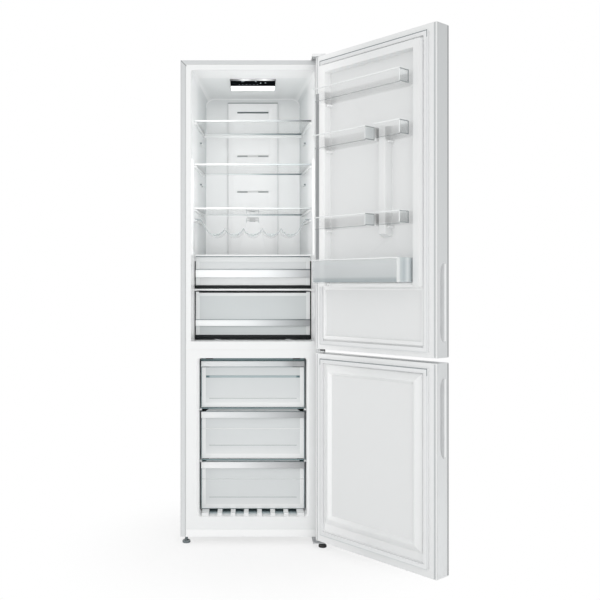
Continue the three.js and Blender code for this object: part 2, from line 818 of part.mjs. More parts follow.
// A cap over the top hinge, open below
function topHingeCover() {
  const low = cabinetTop + 2 * gap;
  const cap = (out, z0, z1) => box(hingeInnerX - out, hingeOuterX + out, hingeFrontY - out,
    hingeFootRear + out, z0, z1);
  return cap(hingeCoverMargin, low, hingeCoverTop).subtract(
    cap(hingeCoverMargin - hingeCoverWall, low - 1, hingeCoverTop - hingeCoverWall));
}

function middleHinge() {
  const back = -gap;
  const top = middleHingeBottom + middleHingePlate;
  return union([
    box(middleHingeInnerX, hingeOuterX, back - hingePlate, back, ...middleHingeFlange),
    box(middleHingeInnerX, hingeOuterX, hingeFrontY + 4, back, middleHingeBottom, top),
    bar("z", hingeX, hingeY, pinRadius, lowerDoorTop - pinReach, upperDoorBottom + pinReach),
    bar("z", hingeX, hingeY, pinRadius + 3, lowerDoorTop + gap, upperDoorBottom - gap),
  ]);
}

function bottomHinge() {
  const top = bottomHingeBottom + bottomHingePlate;
  return union([
    box(hingeInnerX, hingeOuterX, hingeFrontY, hingeFootRear, bottomHingeBottom, top),
    box(hingeInnerX, hingeOuterX, slip, hingeFootRear, bottomHingeBottom, footHeight - gap),
    bar("z", hingeX, hingeY, pinRadius, top - 1, lowerDoorBottom + pinReach),
    bar("z", hingeX, hingeY, pinRadius + 3, top - 1, lowerDoorBottom - gap),
  ]);
}

function foot(x, y, seat) {
  const profile = points([0, 0], [footRadius - 1, 0], [footRadius, 1], [footRadius, footSole - 3],
    [footRadius - 3, footSole], [footStemRadius, footSole], [footStemRadius, seat - gap], [0, seat - gap]);
  return solid(new THREE.LatheGeometry(profile, 20).rotateX(Math.PI / 2).translate(x, y, 0));
}

function roller(side) {
  const half = rollerWidth / 2;
  const bore = axleRadius + axleSlip;
  const profile = points([bore, -half], [rollerRadius - 1, -half], [rollerRadius, 1 - half],
    [rollerRadius, half - 1], [rollerRadius - 1, half], [bore, half], [bore, -half]);
  const wheel = new THREE.LatheGeometry(profile, 24).rotateZ(-Math.PI / 2);
  return solid(wheel.translate(side * rollerX, rollerY, rollerRadius));
}

// ---- Doors --------------------------------------------------------------------------------
const doorFace = -doorGap; // Y of the doors' inner faces, closed
const doorFront = doorFace - doorThickness;

// A box that reaches a distance out of the door's inner face towards the cabinet
function reliefBox(width, deep, out, z0, z1) {
  return middleBox(width, doorFace + deep, doorFace + out, z0, z1);
}

// The body bounded by the upper liner's face, drawn in by an amount
function upperRelief(inset, back) {
  const t = inset;
  const plate = reliefBox(cabinetWidth - 2 * t, back, -t, upperDoorBottom + t, upperDoorTop - t);
  const dyke = reliefBox(dykeOuterWidth - 2 * t, back, dykeReach - t, ledgeTop + t, dykeTop - t);
  const base = reliefBox(dykeOuterWidth - 2 * t, back, plinthReach - t, plinthBottom + t, dykeTop - t);
  const panel = reliefBox(dykeOuterWidth - 2 * plinthRim + 2 * t, -t, plinthReach + 1,
    plinthPanelLow - t, plinthPanelHigh + t);
  const well = reliefBox(dykeInnerWidth + 2 * t, -wellDepth - t, dykeReach + 1, ledgeTop - t,
    dykeTop - dykeWidth + t);
  const rib = loftY([
    { y: doorFace + back, outline: rectangle(ribX - ribBase + t, ribX + ribBase - t,
      ribLow + t, ribHigh - t) },
    { y: doorFace + ribOut - t, outline: rectangle(ribX - ribCrest + t, ribX + ribCrest - t,
      ribLow + 12 + t, ribHigh - 8 - t) },
  ]);
  return union([cut(union([plate, dyke, base]), [panel, well]), rib]);
}

// The body bounded by the lower liner's face: a low frame with sloping sides round a flat panel
function lowerRelief(inset, back) {
  const t = inset;
  const half = frameWidth / 2;
  const ring = (out, shrink) => ({
    y: doorFace + out,
    outline: rectangle(-half + shrink, half - shrink, frameLow + shrink, frameHigh - shrink),
  });
  const plate = reliefBox(cabinetWidth - 2 * t, back, -t, lowerDoorBottom + t, lowerDoorTop - t);
  const frame = loftY([ring(back, t), ring(frameShoulder - t, t), ring(frameReach - t, frameSlope + t)]);
  const panel = loftY([
    ring(frameFloor - t, frameSlope + frameCrest + frameReach - frameFloor - t),
    ring(frameReach + 1, frameSlope + frameCrest - 1 - t),
  ]);
  return cut(plate.add(frame), [panel]);
}

const binEnd = dykeInnerWidth / 2 - binClearance;
const wideBinStart = ribX + ribBase + slip;
const narrowBinEnd = ribX - ribBase - slip;
const row = (index) => ({ reach: binReach, floor: binFloors[index], rim: binRims[index] });
// The ends are along X with the door closed
const bins = [
  { name: "top_bin", from: -binEnd, to: binEnd, ...row(0) },
  { name: "middle_bin_wide", from: wideBinStart, to: binEnd, ...row(1) },
  { name: "middle_bin_narrow", from: -binEnd, to: narrowBinEnd, ...row(1) },
  { name: "lower_bin_wide", from: wideBinStart, to: binEnd, ...row(2) },
  { name: "lower_bin_narrow", from: -binEnd, to: narrowBinEnd, ...row(2) },
  { name: "bottle_bin", from: -binEnd, to: binEnd, reach: bottleBinReach, floor: bottleBinFloor,
    rim: bottleBinRim },
];

// Supports under the ends of a door bin
function binLugs({ from, to, floor }) {
  const low = floor - gap - lugHeight;
  const high = floor - gap;
  return [
    box(from, from + lugOverlap, doorFace - wellDepth - 1, doorFace + lugReach, low, high),
    box(to - lugOverlap, to, doorFace - wellDepth - 1, doorFace + lugReach, low, high),
  ];
}

function doorBin({ from, to, reach, floor, rim }) {
  const back = doorFace + binBack;
  const front = doorFace + reach;
  const shell = (inset, low, high, draft) => extrude("x", points(
    [back + inset, low], [front - draft - inset, low], [front - inset, high], [back + inset, high],
  ), from + inset, to - inset);
  const lip = box(from, to, front - 1, front + binRim, rim - binRimHeight, rim);
  const outer = shell(0, floor, rim, binDraft).add(lip);
  return outer.subtract(shell(mouldedWall, floor + mouldedWall, rim + 1, binDraft));
}

// The outline of a handle recess in Y and Z: straight near the door's front, curved towards its back
function gripOutline([low, high], grow) {
  const near = doorFace - gripNear + grow;
  const far = doorFace - gripFar - grow;
  const bend = (from, to, sweep) => Array.from({ length: 6 }, (_, i) => {
    const angle = (Math.PI / 2) * (sweep > 0 ? i / 5 : 1 - i / 5);
    return [far + (near - far) * Math.sin(angle), from + (to - from) * (1 - Math.cos(angle))];
  });
  return points(
    ...bend(low - grow, low - grow + gripEndHeight, 1),
    ...bend(high + grow, high + grow - gripEndHeight, -1),
  );
}

function doorSkin(bottom, top, grip, pinHoles) {
  const s = steelSheet;
  const edge = doorFace - linerEdge - gap;
  const left = -casingHalf;
  const shell = cut(middleBox(cabinetWidth, doorFront, edge, bottom, top), [
    middleBox(cabinetWidth - 2 * s, doorFront + s, edge + 1, bottom + s, top - s),
  ]);
  const pocket = extrude("x", gripOutline(grip, s), left, left + gripDepth + s);
  const hollow = extrude("x", gripOutline(grip, 0), left - 1, left + gripDepth);
  const holes = pinHoles.map((z) => bar("z", hingeX, hingeY, pinRadius + gap, z - s - 1, z + s + 1));
  return cut(shell.add(pocket), [hollow, ...holes]);
}

function doorFoam(bottom, top, grip, pinHoles, relief) {
  const inside = steelSheet + gap;
  const edge = doorFace - linerEdge;
  const core = middleBox(cabinetWidth - 2 * inside, doorFront + inside, edge - gap,
    bottom + inside, top - inside);
  const space = extrude("x", gripOutline(grip, inside), -cabinetWidth, -casingHalf + gripDepth + inside);
  const wells = pinHoles.map((z) => bar("z", hingeX, hingeY, pinRadius + 2 * gap,
    z - pinReach - 1, z + pinReach + 1));
  return cut(core.add(relief(linerSheet + gap, -linerEdge - 1)), [space, ...wells]);
}

function doorLiner(relief, lugs) {
  return union([relief(0, -linerEdge).subtract(relief(linerSheet, -linerEdge - 1)), ...lugs]);
}

function doorGasket(low, high) {
  const w = gasketWidth;
  const half = gasketInnerWidth / 2 + w;
  return extrude("y", rectangle(-half, half, low, high), doorFace + gap, doorFace + gap + gasketReach,
    rectangle(-half + w, half - w, low + w, high - w).reverse());
}

// ---- Assembly -----------------------------------------------------------------------------
const appliance = new THREE.Group();
appliance.position.set(-leftFootX, -leftFootY, 0); // the frame's origin is under the front left foot

const cabinet = new THREE.Group();
cabinet.add(
  node("outer_casing", outerCasing(), "coatedSteel"),
  node("rear_panel", rearPanel(), "coatedSteel"),
  node("base_plate", basePlate(), "coatedSteel"),
  node("cabinet_foam", cabinetFoam(), "foam"),
  node("fridge_liner", fridgeLiner(), "linerWhite"),
  node("freezer_liner", freezerLiner(), "linerWhite"),
  node("air_duct_cover", airDuctCover(), "linerWhite"),
  node("control_housing", controlHousing(), "satinBar"),
  node("control_display", housingPanel(housingFront + housingLip + gap, displayRear), "blackGlass"),
  node("ceiling_light_lens", housingPanel(displayRear + gap, housingRear - linerSheet - gap),
    "lightDiffuser"),
  node("side_light_left", sideLight(-1), "lightDiffuser"),
  node("side_light_right", sideLight(1), "lightDiffuser"),
  node("crisper_cover", extrude("z", shelfPlan(0), crisperCoverHeight,
    crisperCoverHeight + crisperCoverThickness), "glass"),
  node("crisper_divider", extrude("z", shelfPlan(0, crisperFront, crisperRear), dividerBottom,
    dividerTop), "trimWhite"),
  node("freezer_shelf_upper", freezerShelf(0), "glass"),
  node("freezer_shelf_lower", freezerShelf(1), "glass"),
  node("evaporator", evaporator(), "bareAluminium"),
  node("freezer_rear_cover", freezerRearCover(), "linerWhite"),
  node("compressor", compressor(), "blackPaint"),
  node("drip_tray", dripTray(), "trimWhite"),
  node("top_hinge", topHinge(), "zincSteel"),
  node("top_hinge_cover", topHingeCover(), "trimWhite"),
  node("middle_hinge", middleHinge(), "zincSteel"),
  node("bottom_hinge", bottomHinge(), "zincSteel"),
);

const loose = new THREE.Group(); // what slides or turns in the cabinet
loose.add(node("evaporator_fan", evaporatorFan(), "trimWhite"));
loose.add(node("front_foot_left", foot(leftFootX, leftFootY, footHeight), "zincSteel"));
loose.add(node("front_foot_right", foot(hingeX, hingeY, bottomHingeBottom), "darkRubber"));
for (const [name, side] of [["left", -1], ["right", 1]]) {
  loose.add(node(`rear_roller_${name}`, roller(side), "darkRubber"));
}
["upper", "middle", "lower"].forEach((name, i) => {
  const height = shelfHeights[i];
  loose.add(node(`${name}_shelf_frame`, shelfFrame(height), "trimWhite"));
  loose.add(node(`${name}_shelf_glass`, shelfGlass(height), "glass"));
});
loose.add(node("bottle_rack", bottleRack(), "clearPlastic"));
["upper", "lower"].forEach((name, i) => {
  loose.add(node(`${name}_crisper_tub`, crisperTub(crisperFloors[i], crisperTops[i]), "clearPlastic"));
  loose.add(node(`${name}_crisper_handle`, handleBar(fridgeWall(crisperFront) - slip, crisperFront,
    crisperHandleBottoms[i], crisperHandleTops[i]), "satinBar"));
});
["upper", "middle", "lower"].forEach((name, i) => {
  loose.add(node(`${name}_drawer_tub`, drawerTub(i), "clearPlastic"));
  loose.add(node(`${name}_drawer_handle`, handleBar(drawerFrontWidth / 2, drawerFront,
    drawerTops[i] - drawerHandles[i], drawerTops[i]), "satinBar"));
});

// A door's pieces are drawn closed and hung in a group that turns about the hinge pins
function hang(pieces) {
  const door = new THREE.Group();
  door.position.set(hingeX, hingeY, 0);
  door.rotation.z = THREE.MathUtils.degToRad(openAngle);
  const closed = new THREE.Group();
  closed.position.set(-hingeX, -hingeY, 0);
  closed.add(...pieces);
  door.add(closed);
  return door;
}

const upperPins = [upperDoorBottom, upperDoorTop];
const lowerPins = [lowerDoorBottom, lowerDoorTop];
const upperDoor = hang([
  node("upper_door_skin", doorSkin(upperDoorBottom, upperDoorTop, upperGrip, upperPins), "doorSteel"),
  node("upper_door_foam", doorFoam(upperDoorBottom, upperDoorTop, upperGrip, upperPins, upperRelief), "foam"),
  node("upper_door_liner", doorLiner(upperRelief, bins.flatMap(binLugs)), "linerWhite"),
  node("upper_door_gasket", doorGasket(...upperGasket), "seal"),
  ...bins.map((bin) => node(bin.name, doorBin(bin), "clearPlastic")),
]);
const lowerDoor = hang([
  node("lower_door_skin", doorSkin(lowerDoorBottom, lowerDoorTop, lowerGrip, lowerPins), "doorSteel"),
  node("lower_door_foam", doorFoam(lowerDoorBottom, lowerDoorTop, lowerGrip, lowerPins, lowerRelief), "foam"),
  node("lower_door_liner", doorLiner(lowerRelief, []), "linerWhite"),
  node("lower_door_gasket", doorGasket(...lowerGasket), "seal"),
]);

appliance.add(cabinet, loose, upperDoor, lowerDoor);
const part = new THREE.Group();
part.add(appliance);

export default part;
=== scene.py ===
import math

import bmesh
import bpy
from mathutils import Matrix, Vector


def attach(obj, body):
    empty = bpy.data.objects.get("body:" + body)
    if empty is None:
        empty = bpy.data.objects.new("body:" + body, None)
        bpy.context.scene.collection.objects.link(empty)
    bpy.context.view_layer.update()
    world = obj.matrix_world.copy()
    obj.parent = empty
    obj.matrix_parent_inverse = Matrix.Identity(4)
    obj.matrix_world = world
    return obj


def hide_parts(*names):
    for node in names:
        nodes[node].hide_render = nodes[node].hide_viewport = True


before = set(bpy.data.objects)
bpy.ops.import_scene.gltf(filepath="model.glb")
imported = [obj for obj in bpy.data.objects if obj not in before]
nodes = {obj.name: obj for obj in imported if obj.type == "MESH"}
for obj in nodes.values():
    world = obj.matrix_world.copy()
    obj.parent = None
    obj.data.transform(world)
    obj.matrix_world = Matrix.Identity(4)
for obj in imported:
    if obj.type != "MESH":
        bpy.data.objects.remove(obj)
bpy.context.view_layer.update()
print("frame loaded")


# Cabinet millimetres: X from the cabinet's middle, Y from its front plane, Z from the floor
origin = {"X": 275, "Y": -25, "Z": 0}


def atPlace(x, y, z):
    return Vector(((x + origin["X"]) / 1000, (y + origin["Y"]) / 1000, z / 1000))


def inCabinet(spot):
    return Vector((spot.x * 1000 - origin["X"], spot.y * 1000 - origin["Y"], spot.z * 1000))


# ---- camera ----
shot = {"spot": (0.275, -3.35, 1.06), "lens": 48.55, "shiftX": 0.0785, "shiftY": -0.0232}
bpy.ops.object.camera_add(location=shot["spot"], rotation=(math.radians(90), 0, 0))
camera = bpy.context.object
camera.data.lens = shot["lens"]
camera.data.shift_x = shot["shiftX"]
camera.data.shift_y = shot["shiftY"]
bpy.context.scene.camera = camera


# ---- shared effects ----
effect = {"roughShift": 1.6, "fineShare": 0.6, "brushStretch": (0.4, 40, 40), "cloudScale": 22,
          "bumpDepth": 0.0006}


def startGroup(name, inputs, outputs):
    group = bpy.data.node_groups.new(name, "ShaderNodeTree")
    for label, kind, value in inputs:
        socket = group.interface.new_socket(label, in_out="INPUT", socket_type=kind)
        socket.default_value = value
    for label, kind in outputs:
        group.interface.new_socket(label, in_out="OUTPUT", socket_type=kind)
    return group, group.nodes.new("NodeGroupInput"), group.nodes.new("NodeGroupOutput")


def addNode(tree, kind, **values):
    made = tree.nodes.new(kind)
    for key, value in values.items():
        setattr(made, key, value)
    return made


# Sets a socket to a number or joins another socket to it
def feed(tree, value, socket):
    if isinstance(value, (int, float)):
        socket.default_value = value
    else:
        tree.links.new(value, socket)


def mathNode(tree, operation, first, second):
    made = addNode(tree, "ShaderNodeMath", operation=operation)
    feed(tree, first, made.inputs[0])
    feed(tree, second, made.inputs[1])
    return made.outputs[0]


def noiseAt(tree, scale, detail, stretch=None):
    place = addNode(tree, "ShaderNodeTexCoord").outputs["Object"]
    if stretch:
        turn = addNode(tree, "ShaderNodeMapping")
        turn.inputs["Scale"].default_value = stretch
        tree.links.new(place, turn.inputs["Vector"])
        place = turn.outputs["Vector"]
    noise = addNode(tree, "ShaderNodeTexNoise")
    noise.inputs["Detail"].default_value = detail
    tree.links.new(place, noise.inputs["Vector"])
    feed(tree, scale, noise.inputs["Scale"])
    return noise.outputs["Fac"]


# Slow change of tone over a moulded or painted face
def makeToneDrift():
    group, start, end = startGroup("toneDrift", [
        ("Color", "NodeSocketColor", (0.8, 0.8, 0.8, 1)), ("Amount", "NodeSocketFloat", 0.04),
        ("Roughness", "NodeSocketFloat", 0.4), ("Scale", "NodeSocketFloat", 3),
    ], [("Color", "NodeSocketColor"), ("Roughness", "NodeSocketFloat")])
    centred = mathNode(group, "SUBTRACT", noiseAt(group, start.outputs["Scale"], 3), 0.5)
    shift = mathNode(group, "MULTIPLY", centred, start.outputs["Amount"])
    tone = addNode(group, "ShaderNodeHueSaturation")
    group.links.new(mathNode(group, "ADD", shift, 1), tone.inputs["Value"])
    group.links.new(start.outputs["Color"], tone.inputs["Color"])
    group.links.new(tone.outputs["Color"], end.inputs["Color"])
    rough = mathNode(group, "ADD", mathNode(group, "MULTIPLY", shift, effect["roughShift"]),
                     start.outputs["Roughness"])
    group.links.new(rough, end.inputs["Roughness"])
    return group


# Fine grain of moulded plastic or the peel of paint
def makeFineGrain():
    group, start, end = startGroup("fineGrain", [
        ("Scale", "NodeSocketFloat", 400), ("Coarse Scale", "NodeSocketFloat", 60),
    ], [("Height", "NodeSocketFloat")])
    fine = noiseAt(group, start.outputs["Scale"], 2)
    coarse = noiseAt(group, start.outputs["Coarse Scale"], 1)
    fine = mathNode(group, "MULTIPLY", fine, effect["fineShare"])
    group.links.new(mathNode(group, "ADD", fine, coarse), end.inputs["Height"])
    return group


# Brushed or extruded lines along X
def makeBrushLines():
    group, start, end = startGroup("brushLines", [("Scale", "NodeSocketFloat", 30)],
                                   [("Height", "NodeSocketFloat")])
    group.links.new(noiseAt(group, start.outputs["Scale"], 3, effect["brushStretch"]), end.inputs["Height"])
    return group


# Dust that lies on faces that look up
def makeDust():
    group, start, end = startGroup("settledDust", [
        ("Color", "NodeSocketColor", (0.8, 0.8, 0.8, 1)), ("Dust", "NodeSocketColor", (0.6, 0.58, 0.55, 1)),
        ("Amount", "NodeSocketFloat", 0.1),
    ], [("Color", "NodeSocketColor")])
    normal = addNode(group, "ShaderNodeNewGeometry").outputs["Normal"]
    split = addNode(group, "ShaderNodeSeparateXYZ")
    group.links.new(normal, split.inputs[0])
    up = mathNode(group, "MAXIMUM", split.outputs["Z"], 0)
    cloud = mathNode(group, "MULTIPLY", noiseAt(group, effect["cloudScale"], 4), start.outputs["Amount"])
    mix = addNode(group, "ShaderNodeMix", data_type="RGBA")
    group.links.new(mathNode(group, "MULTIPLY", up, cloud), mix.inputs["Factor"])
    group.links.new(start.outputs["Color"], mix.inputs["A"])
    group.links.new(start.outputs["Dust"], mix.inputs["B"])
    group.links.new(mix.outputs["Result"], end.inputs["Color"])
    return group


toneDrift = makeToneDrift()
fineGrain = makeFineGrain()
brushLines = makeBrushLines()
settledDust = makeDust()


def useGroup(tree, group, **values):
    made = addNode(tree, "ShaderNodeGroup", node_tree=group)
    for key, value in values.items():
        made.inputs[key].default_value = value
    return made


# A run of colours along one axis: its name, then a spot in cabinet millimetres and a colour for each stop
def addRamp(tree, ramp, socket):
    axis, *stops = ramp
    split = addNode(tree, "ShaderNodeSeparateXYZ")
    tree.links.new(addNode(tree, "ShaderNodeTexCoord").outputs["Object"], split.inputs[0])
    span = addNode(tree, "ShaderNodeMapRange")
    first, last = stops[0][0], stops[-1][0]
    span.inputs["From Min"].default_value = (first + origin[axis]) / 1000
    span.inputs["From Max"].default_value = (last + origin[axis]) / 1000
    tree.links.new(split.outputs[axis], span.inputs["Value"])
    band = addNode(tree, "ShaderNodeValToRGB")
    while len(band.color_ramp.elements) < len(stops):
        band.color_ramp.elements.new(0.5)
    for element, (spot, *color) in zip(band.color_ramp.elements, stops):
        element.position = (spot - first) / (last - first)
        element.color = (*color, 1)
    tree.links.new(span.outputs["Result"], band.inputs["Fac"])
    tree.links.new(band.outputs["Color"], socket)


# ---- finishes ----
# The settings of a finish, its colour either one tone or a run along an axis
def look(color, roughness=0.3, drift=0.03, bump=0.05, **more):
    return {"color": color, "roughness": roughness, "drift": drift, "bump": bump, "dust": 0, "grain": 500,
            "peel": 70, **more}


def plainFinish(name, values):
    material = bpy.data.materials.new(name)
    material.use_nodes = True
    tree = material.node_tree
    shader = tree.nodes["Principled BSDF"]
    tone = useGroup(tree, toneDrift, Amount=values["drift"], Roughness=values["roughness"])
    if isinstance(values["color"][0], str):
        addRamp(tree, values["color"], tone.inputs["Color"])
    else:
        tone.inputs["Color"].default_value = (*values["color"], 1)
    dust = useGroup(tree, settledDust, Amount=values["dust"])
    tree.links.new(tone.outputs["Color"], dust.inputs["Color"])
    tree.links.new(dust.outputs["Color"], shader.inputs["Base Color"])
    tree.links.new(tone.outputs["Roughness"], shader.inputs["Roughness"])
    if "brushed" in values:
        relief = useGroup(tree, brushLines, Scale=values["brushed"])
    else:
        relief = useGroup(tree, fineGrain, Scale=values["grain"])
        relief.inputs["Coarse Scale"].default_value = values["peel"]
    bump = addNode(tree, "ShaderNodeBump")
    bump.inputs["Strength"].default_value = values["bump"]
    bump.inputs["Distance"].default_value = effect["bumpDepth"]
    tree.links.new(relief.outputs["Height"], bump.inputs["Height"])
    tree.links.new(bump.outputs["Normal"], shader.inputs["Normal"])
    for socket, key in (("Metallic", "metal"), ("Alpha", "alpha"), ("Coat Weight", "coat"),
                        ("Emission Strength", "glow"), ("Specular IOR Level", "shine"), ("IOR", "ior")):
        if key in values:
            shader.inputs[socket].default_value = values[key]
    if "glow" in values:
        shader.inputs["Emission Color"].default_value = (*values["color"], 1)
    return material


